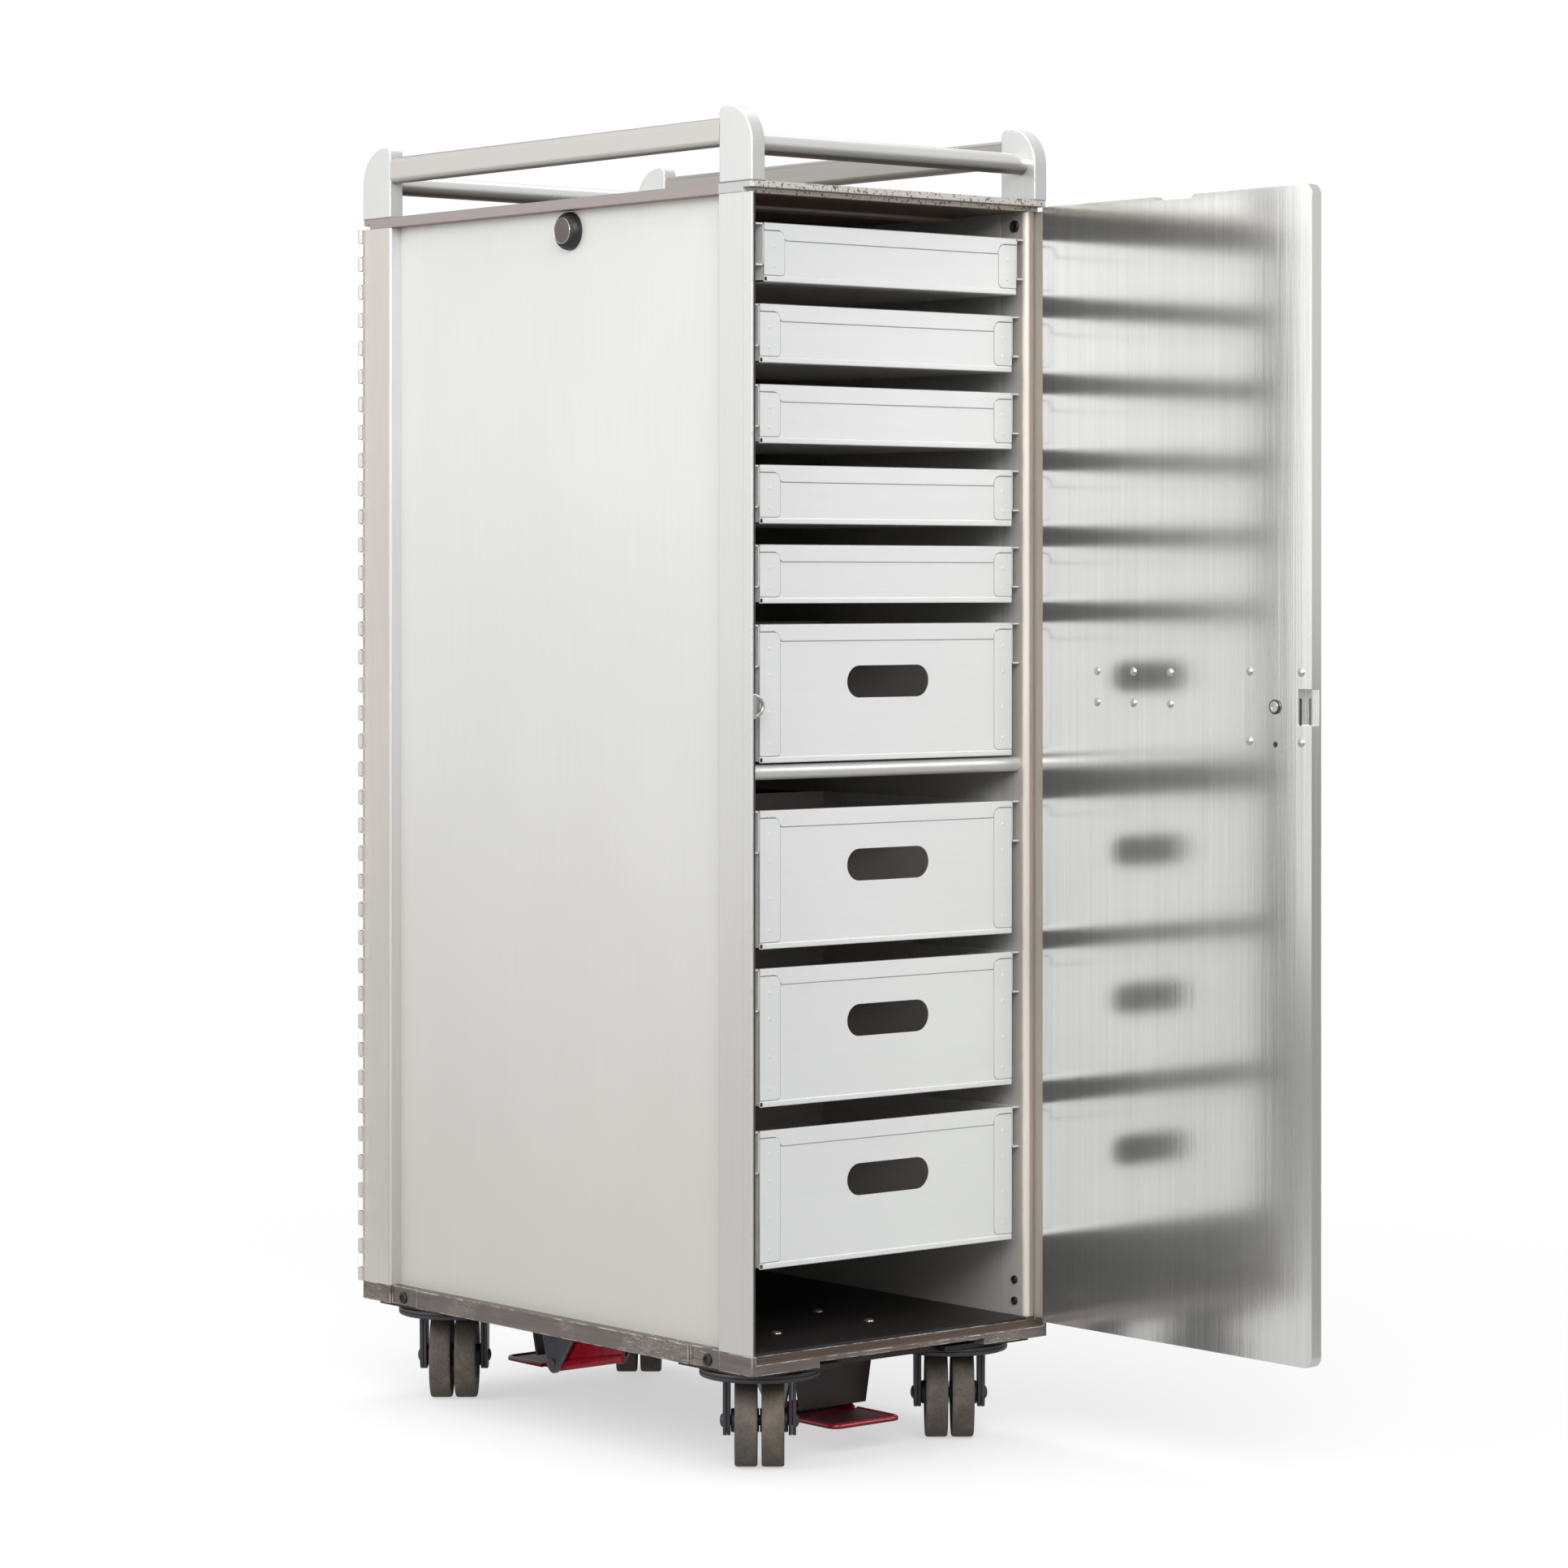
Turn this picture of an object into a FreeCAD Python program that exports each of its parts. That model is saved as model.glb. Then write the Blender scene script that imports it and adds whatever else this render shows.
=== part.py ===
import FreeCAD, Part
import os
import Sketcher
from FreeCAD import Placement, Rotation, Vector

# Half-size airline galley cart: a folded cabinet on four twin-wheel casters, with a door
# at each end, nine pull-out drawers, a rail round the top and a brake pedal at each end.
# Millimetres. +Z is up, the front looks along -Y, and the origin is on the floor under
# the middle of the cabinet. The back is the front turned half way round the +Z axis.
# Depths that start at a face of the cabinet are written "from the front".

DIMENSIONS = {
    # cabinet
    "cart_width": 300.5, "cart_depth": 506, "cart_height": 1030,
    "base_bottom": 80.4, "bumper_top": 95, "base_top": 93, "ring_width": 30,
    "bumper_corner": 1, "sill_level": 88.5, "sill_clear": 0.5, "toe_half": 84,
    "toe_level": 85,
    "recess_start": 39, "recess_length": 37, "recess_deep": 2.5,
    "floor_gauge": 2, "deck_bottom": 964, "deck_lip": 967.5, "deck_top": 972.4,
    "post_width": 12.25, "post_depth": 40, "jamb_set": 10.5, "stop_lip": 4,
    "nose_radius": 5, "skin_gauge": 2, "beam_drop": 3, "beam_depth": 20,
    "beam_set": 98,
    # rail round the top
    "rail_post_width": 13, "rail_post_depth": 39, "rail_post_outer": 30,
    "rail_post_inner": 6, "rail_post_seat": 0.4, "handrail_tall": 21.5, "handrail_thick": 12,
    "handrail_level": 1011, "tube_radius": 8.25, "tube_level": 1001.3, "tube_set": 16,
    # cross bars, catches and screws
    "bar_radius": 5.75, "bar_level": 529.5, "bar_set": 22,
    "catch_from_front": 236, "catch_level": 948, "catch_radius": 15,
    "catch_face": 10.5, "catch_tall": 9,
    "screw_radius": 4.7, "screw_head": 2, "screw_from_end": 55, "screw_level": 86.3,
    "post_screw_set": 23.5, "post_screw_level": 953, "foot_screw_low": 106.5,
    "foot_screw_high": 123, "foot_screw_radius": 3.2, "dome_radius": 4.3,
    # door
    "door_thick": 10, "door_bottom": 93, "door_top": 966.5, "door_free_edge": 143,
    "door_hinge_edge": 146.5, "door_corner": 8, "door_notch_wide": 45,
    "door_notch_deep": 3, "door_notch_ramp": 3,
    # hinge
    "axis_out": 1, "barrel_radius": 2.5, "pin_hole": 1.5, "pin_radius": 1.45,
    "leaf_gauge": 1.5, "leaf_wide": 28, "frame_leaf_wide": 36, "knuckle_pitch": 23.2,
    "knuckle_long": 10.6,
    "hinge_bottom": 95, "frame_knuckles": 38, "door_knuckles": 37, "leaf_clear": 3.4,
    # latch
    "latch_level": 580, "latch_from_edge": 37, "lock_plate": 66, "plate_gauge": 1.5,
    "spindle_radius": 5, "spindle_hole": 5.05, "cam_reach": 33, "cam_wide": 12,
    "cam_thick": 2, "cam_set": 6, "cam_room": 0.5, "lever_long": 68, "lever_wide": 18,
    "lever_thick": 5, "slot_tall": 27, "slot_deep": 14, "slot_skin": 2,
    "strike_wire": 1.5, "strike_leg": 1.2, "strike_reach": 10, "strike_tall": 16, "strike_set": 4,
    # drawers
    "drawer_half": 128.5, "runner_reach": 136.5, "drawer_set": 16.6, "drawer_long": 228,
    "shallow_tall": 44, "deep_tall": 104, "drawer_gauge": 1.2, "runner_tall": 32,
    "guide_clear": 0.4, "guide_start": 48, "tab_wide": 19, "tab_proud": 0.8,
    "tab_below_top": 5, "hem_tall": 4.5, "band_tall": 12.5, "first_drawer_out": 5.2,
    "hand_slot_wide": 83, "hand_slot_tall": 24.5, "hand_slot_drop": 44,
    # casters
    "caster_in_x": 53.4, "caster_in_y": 55.6, "disc_radius": 46, "disc_bottom": 69.8,
    "disc_top": 76.2, "plate_half": 44, "plate_bottom": 76.5, "stud_radius": 8,
    "stud_hole": 8.05, "wheel_radius": 34.8, "wheel_wide": 17.4, "wheel_gap": 3.1,
    "wheel_shoulder": 2, "hub_radius": 9, "hub_clear": 0.35, "axle_radius": 4,
    "axle_hole": 4.05, "axle_head": 5.25, "axle_head_tall": 2.5, "yoke_outer": 27.85,
    "yoke_gauge": 5.7, "yoke_top_half": 17, "yoke_half": 11,
    # brake pedals
    "tread_half": 35, "tread_start": 40, "tread_bottom": 22, "pedal_gauge": 3,
    "pedal_half": 31, "pedal_start": 92, "pivot_from_front": 109.5, "pivot_level": 27.5,
    "pedal_floor_end": 121, "front_pedal_end": 132, "back_pedal_end": 197,
    "pedal_wall": 2, "arm_tall": 44, "arm_toe": 4, "arm_heel": 3, "arm_heel_rise": 13,
    "arm_knee": 3, "arm_shoulder": 10, "arm_top_end": 50, "front_tip_rise": 4,
    "back_tip_rise": 17, "back_tip_tall": 28, "eye_radius": 8, "bracket_out": 35.8,
    "bracket_gauge": 2.5, "pin_proud": 2.5, "wing_front": 23, "wing_back": 47,
    "foot_front": 7.5, "foot_front_drop": 2.7, "foot_back": 6.4, "foot_back_drop": 4.8,
    "guard_set": 82, "guard_gauge": 3, "guard_bottom": 31, "guard_half": 33,
    "guard_top_half": 41, "cross_start": 20, "cross_end": 160,
}

# The tops of the drawers, from the highest down, and which of them are deep.
DRAWERS = [
    (942, False), (881.5, False), (821, False), (760.5, False), (700.5, False),
    (640.6, True), (500.7, True), (382, True), (260.3, True),
]

CASTER_TURN = -39.9      # degrees from +X to the axles: all four casters stand alike
FRONT_DOOR_OPEN = 90     # degrees the front door stands open at rest

doc = FreeCAD.newDocument("GalleyCart")
sheet = doc.addObject("Spreadsheet::Sheet", "Sizes")
nodes = []


class Size:
    """A length: its value now, and the spreadsheet expression that gives it."""

    def __init__(self, value, text):
        self.value = value
        self.text = text

    def __add__(self, other):
        other = as_size(other)
        return Size(self.value + other.value, f"({self.text} + {other.text})")

    def __sub__(self, other):
        other = as_size(other)
        return Size(self.value - other.value, f"({self.text} - {other.text})")

    def __mul__(self, factor):
        return Size(self.value * factor, f"({self.text} * {factor})")

    def __truediv__(self, factor):
        return Size(self.value / factor, f"({self.text} / {factor})")

    def __neg__(self):
        return self * -1

    def __radd__(self, other):
        return as_size(other) + self

    def __rsub__(self, other):
        return as_size(other) - self


def as_size(number):
    return number if isinstance(number, Size) else Size(float(number), f"({number})")


def fill_sheet():
    """Put every driving dimension in the sheet, and return each one as a Size."""
    sizes = {}
    for row, (alias, value) in enumerate(DIMENSIONS.items(), start=1):
        sheet.set(f"A{row}", alias)
        sheet.set(f"B{row}", str(value))
        sheet.setAlias(f"B{row}", alias)
        sizes[alias] = Size(float(value), f"Sizes.{alias}")
    doc.recompute()
    return sizes


size = fill_sheet()
half_width = size["cart_width"] / 2
half_depth = size["cart_depth"] / 2
post_inner = half_width - size["post_width"]
side_inner = post_inner
drawer_back = size["drawer_set"] + size["drawer_long"]
hinge_x = half_width + size["axis_out"]
hinge_from_front = -size["axis_out"]
spindle_x = size["latch_from_edge"] - size["door_free_edge"]


def from_front(distance):
    """The Y of a point that lies this far behind the front face."""
    return as_size(distance) - half_depth


# ---- document helpers ----------------------------------------------------------------

def bind(thing, prop, length):
    thing.setExpression(prop, as_size(length).text)


def place(thing, point):
    for axis, length in zip("xyz", point):
        bind(thing, f"Placement.Base.{axis}", length)


def box(low, high):
    """A box from its lowest corner to its highest."""
    solid = doc.addObject("Part::Box", "Block")
    for prop, start, end in zip(("Length", "Width", "Height"), low, high):
        bind(solid, prop, as_size(end) - start)
    place(solid, low)
    return solid


ALONG = {
    "X": Rotation(Vector(0, 1, 0), 90),
    "Y": Rotation(Vector(1, 0, 0), -90),
    "Z": Rotation(),
}


def rod(start, length, radius, along):
    """A cylinder that runs from its start in the positive direction of one axis."""
    solid = doc.addObject("Part::Cylinder", "Rod")
    solid.Placement = Placement(Vector(), ALONG[along])
    bind(solid, "Radius", radius)
    bind(solid, "Height", length)
    place(solid, start)
    return solid


def cone(start, length, first_radius, last_radius, turn):
    solid = doc.addObject("Part::Cone", "Cone")
    solid.Placement = Placement(Vector(), turn)
    bind(solid, "Radius1", first_radius)
    bind(solid, "Radius2", last_radius)
    bind(solid, "Height", length)
    place(solid, start)
    return solid


def fuse(pieces):
    solid = doc.addObject("Part::MultiFuse", "Joined")
    solid.Shapes = pieces
    solid.Refine = True
    return solid


def cut(base, tools):
    solid = doc.addObject("Part::Cut", "Trimmed")
    solid.Base = base
    solid.Tool = tools[0] if len(tools) == 1 else fuse(tools)
    solid.Refine = True
    return solid


def group(pieces):
    """Separate solids that share one node."""
    holder = doc.addObject("Part::Compound", "Group")
    holder.Links = pieces
    return holder


def keep(name, thing, placement=None):
    """Name a sub-part, set it in place, and list it for export."""
    thing.Label = name
    if placement is not None:
        thing.Placement = placement.multiply(thing.Placement)
    nodes.append(thing)
    return thing


HALF_TURN = Rotation(Vector(0, 0, 1), 180)


def half_turn():
    return Placement(Vector(), HALF_TURN)


def turned(thing):
    """The same piece at the other end of the cart."""
    holder = group([thing])
    holder.Placement = half_turn()
    return holder


def origin_feature(body, role):
    return next(item for item in body.Origin.OriginFeatures if item.Role == role)


def new_body(name):
    return doc.addObject("PartDesign::Body", name)


def new_sketch(body, role, offset=0):
    """A sketch on one of the body's own origin planes, or this far along its normal."""
    sketch = body.newObject("Sketcher::SketchObject", "Sketch")
    sketch.AttachmentSupport = [(origin_feature(body, role), "")]
    sketch.MapMode = "FlatFace"
    bind(sketch, "AttachmentOffset.Base.z", offset)
    return sketch


def hold(sketch, kind, geometry, point, length):
    """Hold one coordinate of a sketch point at a sheet length from the sketch origin."""
    constraint = Sketcher.Constraint(kind, -1, 1, geometry, point, length.value)
    index = sketch.addConstraint(constraint)
    sketch.setExpression(f"Constraints[{index}]", length.text)


def polygon(sketch, corners):
    corners = [(as_size(across), as_size(up)) for across, up in corners]
    points = [Vector(across.value, up.value, 0) for across, up in corners]
    first = sketch.GeometryCount
    count = len(points)
    for index in range(count):
        line = Part.LineSegment(points[index], points[(index + 1) % count])
        sketch.addGeometry(line, False)
    for index in range(count):
        after = first + (index + 1) % count
        sketch.addConstraint(Sketcher.Constraint("Coincident", first + index, 2, after, 1))
    for index, (across, up) in enumerate(corners):
        hold(sketch, "DistanceX", first + index, 1, across)
        hold(sketch, "DistanceY", first + index, 1, up)


def circle(sketch, across, up, radius):
    across, up, radius = as_size(across), as_size(up), as_size(radius)
    centre = Vector(across.value, up.value, 0)
    index = sketch.addGeometry(Part.Circle(centre, Vector(0, 0, 1), radius.value), False)
    hold(sketch, "DistanceX", index, 3, across)
    hold(sketch, "DistanceY", index, 3, up)
    number = sketch.addConstraint(Sketcher.Constraint("Radius", index, radius.value))
    sketch.setExpression(f"Constraints[{number}]", radius.text)


def pad(body, sketch, length, backwards=False):
    feature = body.newObject("PartDesign::Pad", "Pad")
    feature.Profile = sketch
    bind(feature, "Length", length)
    feature.Reversed = backwards
    return feature


def plate(name, role, corners, offset, length):
    """A body padded from one polygon on an origin plane."""
    body = new_body(name)
    sketch = new_sketch(body, role, offset)
    polygon(sketch, corners)
    pad(body, sketch, length)
    return body


def round_edges(body, radius, chosen):
    """Fillet the edges of the body's last feature that the test picks."""
    doc.recompute()
    base = body.Tip
    names = [
        f"Edge{number}" for number, edge in enumerate(base.Shape.Edges, start=1)
        if chosen(edge)
    ]
    fillet = body.newObject("PartDesign::Fillet", "Round")
    fillet.Base = (base, names)
    bind(fillet, "Radius", radius)
    return fillet


def edge_runs(edge, direction):
    """Whether a straight edge runs along a direction."""
    first, last = edge.Vertexes[0].Point, edge.Vertexes[-1].Point
    run = last - first
    return run.Length > 1 and abs(abs(run.normalize().dot(direction)) - 1) < 1e-6


# ---- base, floor and deck ------------------------------------------------------------

def make_base_frame():
    """A bumper ring, stepped down under each door, with a pocket for the floor."""
    outer = new_body("BumperRing")
    sketch = new_sketch(outer, "XY_Plane", size["base_bottom"])
    polygon(sketch, [
        (-half_width, -half_depth), (half_width, -half_depth),
        (half_width, half_depth), (-half_width, half_depth),
    ])
    pad(outer, sketch, size["bumper_top"] - size["base_bottom"])
    round_edges(outer, size["bumper_corner"],
                lambda edge: edge_runs(edge, Vector(0, 0, 1)))
    inner_x = half_width - size["ring_width"]
    inner_y = half_depth - size["ring_width"]
    jamb, above = from_front(size["jamb_set"]), size["bumper_top"] + 1
    well = box((-inner_x, -inner_y, size["base_bottom"] - 1), (inner_x, inner_y, above))
    pocket = box((-side_inner, jamb, size["base_top"]), (side_inner, -jamb, above))
    step = box((size["stop_lip"] - half_width, from_front(-1), size["sill_level"]),
               (size["door_hinge_edge"] + size["sill_clear"], jamb, above))
    toe = box((-size["toe_half"], from_front(-1), size["base_bottom"] - 1),
              (size["toe_half"], from_front(size["ring_width"] + 1), size["toe_level"]))
    tools = [well, pocket, step, turned(step), toe, turned(toe)]
    for side in (-1, 1):
        for end in (-1, 1):
            tools.append(make_screw_recess(side, end))
    keep("base_frame", cut(outer, tools))


def make_screw_recess(side, end):
    outer = half_width + 1
    inner = half_width - size["recess_deep"]
    near = half_depth - size["recess_start"] - size["recess_length"]
    far = half_depth - size["recess_start"]
    xs = (inner, outer) if side > 0 else (-outer, -inner)
    ys = (near, far) if end > 0 else (-far, -near)
    return box((xs[0], ys[0], size["base_bottom"] - 1),
               (xs[1], ys[1], size["bumper_top"] + 1))


def make_floor():
    top = size["base_top"] + size["floor_gauge"]
    edge = from_front(size["jamb_set"])
    keep("floor_panel", group([
        box((-side_inner, edge, size["base_top"]), (side_inner, -edge, top))]))


def make_deck():
    """The top plate: a thin lip over the doors, thicker between them, with post seats."""
    edge = from_front(size["jamb_set"])
    lip = new_body("DeckPlate")
    sketch = new_sketch(lip, "XY_Plane", size["deck_lip"])
    polygon(sketch, [
        (-half_width, -half_depth), (half_width, -half_depth),
        (half_width, half_depth), (-half_width, half_depth),
    ])
    pad(lip, sketch, size["deck_top"] - size["deck_lip"])
    round_edges(lip, 3, lambda each: edge_runs(each, Vector(0, 0, 1)))
    core = box((-half_width, edge, size["deck_bottom"]), (half_width, -edge, size["deck_lip"]))
    seat = size["deck_top"] - size["rail_post_seat"]
    inner = half_width - size["rail_post_width"]
    depth = from_front(size["rail_post_depth"])
    seats = [
        box((inner, from_front(-1), seat), (half_width + 1, depth, size["deck_top"] + 1)),
        box((-half_width - 1, from_front(-1), seat), (-inner, depth, size["deck_top"] + 1)),
    ]
    keep("top_deck", cut(fuse([lip, core]), seats + [turned(tool) for tool in seats]))


def make_ceiling_beams():
    """Flat straps across the ceiling, near each end."""
    start = size["beam_set"]
    beam = box(
        (-side_inner, from_front(start), size["deck_bottom"] - size["beam_drop"]),
        (side_inner, from_front(start + size["beam_depth"]), size["deck_bottom"]))
    keep("ceiling_beams", group([beam, turned(beam)]))


def make_side_panels():
    panel = box(
        (side_inner, from_front(size["post_depth"]), size["bumper_top"]),
        (side_inner + size["skin_gauge"], -from_front(size["post_depth"]),
         size["deck_bottom"]))
    keep("right_side_panel", group([panel]))
    keep("left_side_panel", group([panel]), half_turn())


def make_posts():
    """Each end has a latch post with a stop lip, and a hinge post with a round nose."""
    low, high = size["bumper_top"], size["deck_bottom"]
    latch_post = fuse([
        box((-half_width, from_front(size["jamb_set"]), low),
            (-post_inner, from_front(size["post_depth"]), high)),
        box((-half_width, from_front(0), low),
            (size["stop_lip"] - half_width, from_front(size["jamb_set"] + 1), high)),
    ])
    jamb = from_front(size["jamb_set"])
    leaf_seat = half_width - size["leaf_gauge"]
    leaf_end = from_front(size["frame_leaf_wide"])
    back = from_front(size["post_depth"])
    hinge_post = plate("HingePost", "XY_Plane", [
        (post_inner, jamb), (leaf_seat, jamb), (leaf_seat, leaf_end),
        (half_width, leaf_end), (half_width, back), (post_inner, back),
    ], low, high - low)
    round_edges(hinge_post, size["nose_radius"],
                lambda edge: edge_runs(edge, Vector(0, 0, 1))
                and abs(edge.CenterOfMass.y - jamb.value) < 0.1)
    keep("front_left_post", group([latch_post]))
    keep("front_right_post", group([hinge_post]))
    keep("back_right_post", group([latch_post]), half_turn())
    keep("back_left_post", group([hinge_post]), half_turn())


# ---- rail round the top --------------------------------------------------------------

def make_rail_posts():
    """Upright blocks on the deck corners, well rounded on their outer top corner."""
    body = new_body("RailPost")
    sketch = new_sketch(body, "YZ_Plane", half_width - size["rail_post_width"])
    near, far = from_front(0), from_front(size["rail_post_depth"])
    foot = size["deck_top"] - size["rail_post_seat"]
    polygon(sketch, [
        (near, foot), (far, foot),
        (far, size["cart_height"]), (near, size["cart_height"]),
    ])
    pad(body, sketch, size["rail_post_width"])

    def top_edge(edge, depth):
        middle = edge.CenterOfMass
        is_top = abs(middle.z - DIMENSIONS["cart_height"]) < 0.1
        return edge_runs(edge, Vector(1, 0, 0)) and is_top and abs(middle.y - depth) < 0.1

    round_edges(body, size["rail_post_outer"], lambda edge: top_edge(edge, near.value))
    round_edges(body, size["rail_post_inner"], lambda edge: top_edge(edge, far.value))
    mirrored = doc.addObject("Part::Mirroring", "OtherSide")
    mirrored.Source = body
    mirrored.Normal = Vector(1, 0, 0)
    keep("rail_posts", group([body, mirrored, turned(body), turned(mirrored)]))


def make_rails():
    half_tall = size["handrail_tall"] / 2
    outer = half_width
    inner = half_width - size["handrail_thick"]
    end = from_front(size["rail_post_depth"])
    rail = new_body("SideRail")
    sketch = new_sketch(rail, "XZ_Plane", end)
    polygon(sketch, [
        (inner, size["handrail_level"] - half_tall),
        (outer, size["handrail_level"] - half_tall),
        (outer, size["handrail_level"] + half_tall),
        (inner, size["handrail_level"] + half_tall),
    ])
    pad(rail, sketch, end * -2)
    round_edges(rail, 5, lambda edge: edge_runs(edge, Vector(0, 1, 0)))
    keep("side_handrails", group([rail, turned(rail)]))
    reach = half_width - size["rail_post_width"]
    tube = rod((-reach, from_front(size["tube_set"]), size["tube_level"]),
               reach * 2, size["tube_radius"], "X")
    keep("end_rail_tubes", group([tube, turned(tube)]))


# ---- inside the cabinet --------------------------------------------------------------

def make_guide_rails():
    """One ledge for each drawer on each wall, standing inside the drawer's runner."""
    ledges = []
    for top, deep in DRAWERS:
        high = as_size(top) - size["drawer_gauge"] - size["guide_clear"]
        low = as_size(top) - size["runner_tall"] + size["drawer_gauge"] + size["guide_clear"]
        web = size["drawer_half"] + size["drawer_gauge"] + size["guide_clear"]
        ledges.append(box(
            (web, from_front(size["guide_start"]), low),
            (side_inner, -from_front(size["post_depth"]), high)))
    keep("right_guide_rails", group(ledges))
    mirrored = doc.addObject("Part::Mirroring", "OtherWall")
    mirrored.Source = group(ledges)
    mirrored.Normal = Vector(1, 0, 0)
    keep("left_guide_rails", mirrored)


def make_cross_bars():
    bar = rod((-side_inner, from_front(size["bar_set"]), size["bar_level"]),
              side_inner * 2, size["bar_radius"], "X")
    keep("cross_bars", group([bar, turned(bar)]))


def make_latch_strikes():
    """A staple on each latch post: two legs and an upright for the cam to hook."""
    wire, leg = size["strike_wire"], size["strike_leg"]
    start = size["stop_lip"] - half_width
    depth = from_front(size["strike_set"])
    low = size["latch_level"] - size["strike_tall"] / 2
    high = size["latch_level"] + size["strike_tall"] / 2
    end = start + size["strike_reach"]
    staple = fuse([
        rod((start, depth, low), size["strike_reach"], leg, "X"),
        rod((start, depth, high), size["strike_reach"], leg, "X"),
        rod((end, depth, low - wire), size["strike_tall"] + wire * 2, wire, "Z"),
    ])
    keep("latch_strikes", group([staple, turned(staple)]))


def make_door_catches():
    """A magnet cone on each side, which holds the other end's door folded back."""
    outwards = Rotation(Vector(0, 1, 0), -90)
    body = cone(
        (-side_inner - size["skin_gauge"], from_front(size["catch_from_front"]),
         size["catch_level"]),
        size["catch_tall"], size["catch_radius"], size["catch_face"], outwards)
    keep("door_catches", group([body, turned(body)]))


def make_screws():
    """Socket screws in the bumper and the posts, and domed screws in the floor."""
    screws = []
    seat = half_width - size["recess_deep"]
    for end in (-1, 1):
        depth = (half_depth - size["screw_from_end"]) * end
        head = rod((seat, depth, size["screw_level"]), size["screw_head"],
                   size["screw_radius"], "X")
        screws += [head, turned(head)]
    depth, level = from_front(size["post_screw_set"]), size["post_screw_level"]
    hinge_side = post_inner - size["screw_head"]
    radius, foot_radius = size["screw_radius"], size["foot_screw_radius"]
    for start, height, reach in ((-post_inner, level, radius), (hinge_side, level, radius),
                                 (hinge_side, size["foot_screw_low"], foot_radius),
                                 (hinge_side, size["foot_screw_high"], foot_radius)):
        head = rod((start, depth, height), size["screw_head"], reach, "X")
        screws += [head, turned(head)]
    floor_top = size["base_top"] + size["floor_gauge"]
    for across, depth in ((-63, 76), (31, 76), (31, 137.5)):
        dome = cone((across, from_front(depth), floor_top), size["screw_head"],
                    size["dome_radius"], size["dome_radius"] / 2, ALONG["Z"])
        screws += [dome, turned(dome)]
    keep("frame_screws", group(screws))


# ---- doors ---------------------------------------------------------------------------

def hinge_leaf(name, strip, web, first_level, count):
    """A piano-hinge leaf: a strip, and knuckles on webs at every pitch."""
    body = new_body(name)
    level = size["hinge_bottom"]
    strip_long = size["knuckle_pitch"] * (DIMENSIONS["frame_knuckles"] - 1)
    strip_sketch = new_sketch(body, "XY_Plane", level)
    polygon(strip_sketch, strip)
    pad(body, strip_sketch, strip_long + size["knuckle_long"])
    web_sketch = new_sketch(body, "XY_Plane", level + first_level)
    polygon(web_sketch, web)
    web_pad = pad(body, web_sketch, size["knuckle_long"])
    knuckle_sketch = new_sketch(body, "XY_Plane", level + first_level)
    circle(knuckle_sketch, hinge_x, from_front(hinge_from_front), size["barrel_radius"])
    knuckle = pad(body, knuckle_sketch, size["knuckle_long"])
    pattern = body.newObject("PartDesign::LinearPattern", "Knuckles")
    pattern.Originals = [web_pad, knuckle]
    pattern.Direction = (origin_feature(body, "Z_Axis"), [""])
    bind(pattern, "Length", size["knuckle_pitch"] * (DIMENSIONS[count] - 1))
    pattern.Occurrences = DIMENSIONS[count]
    body.Tip = pattern
    bore = rod((hinge_x, from_front(hinge_from_front), level - 1),
               strip_long + size["knuckle_long"] + 2, size["pin_hole"], "Z")
    return cut(body, [bore])


def rectangle(x_low, x_high, y_low, y_high):
    return [(x_low, y_low), (x_high, y_low), (x_high, y_high), (x_low, y_high)]


def make_frame_leaves():
    outer = half_width
    inner = half_width - size["leaf_gauge"]
    start = from_front(hinge_from_front + size["leaf_clear"])
    leaf = hinge_leaf(
        "FrameLeaf",
        rectangle(inner, outer, start, from_front(size["frame_leaf_wide"])),
        rectangle(inner, outer, from_front(hinge_from_front), start + 2),
        as_size(0), "frame_knuckles")
    keep("hinge_frame_leaves", group([leaf, turned(leaf)]))
    long = size["knuckle_pitch"] * (DIMENSIONS["frame_knuckles"] - 1) + size["knuckle_long"]
    pin = rod((hinge_x, from_front(hinge_from_front), size["hinge_bottom"]), long,
              size["pin_radius"], "Z")
    keep("hinge_pins", group([pin, turned(pin)]))


def door_leaf():
    """The moving leaf, on the outer face of the closed door."""
    end = hinge_x - size["leaf_clear"]
    outer = from_front(-size["leaf_gauge"])
    return hinge_leaf(
        "DoorLeaf",
        rectangle(end - size["leaf_wide"], end, outer, from_front(0)),
        rectangle(end - 2, hinge_x, outer, from_front(0)),
        size["knuckle_pitch"] / 2, "door_knuckles")


def door_panel():
    """The panel as it closes the front: free corners rounded, a notch in its top edge."""
    left, right = -size["door_free_edge"], size["door_hinge_edge"]
    bottom, top = size["door_bottom"], size["door_top"]
    middle = (left + right) / 2
    notch = size["door_notch_wide"] / 2
    foot = notch - size["door_notch_ramp"]
    dip = top - size["door_notch_deep"]
    body = new_body("DoorPanel")
    sketch = new_sketch(body, "XZ_Plane", -from_front(size["door_thick"]))
    polygon(sketch, [
        (left, bottom), (right, bottom), (right, top), (middle + notch, top),
        (middle + foot, dip), (middle - foot, dip), (middle - notch, top), (left, top),
    ])
    pad(body, sketch, size["door_thick"])

    def is_corner(edge):
        spot = edge.CenterOfMass
        return edge_runs(edge, Vector(0, 1, 0)) and abs(spot.x - left.value) < 0.1

    round_edges(body, size["door_corner"], is_corner)
    return cut(body, latch_room(left))


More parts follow.
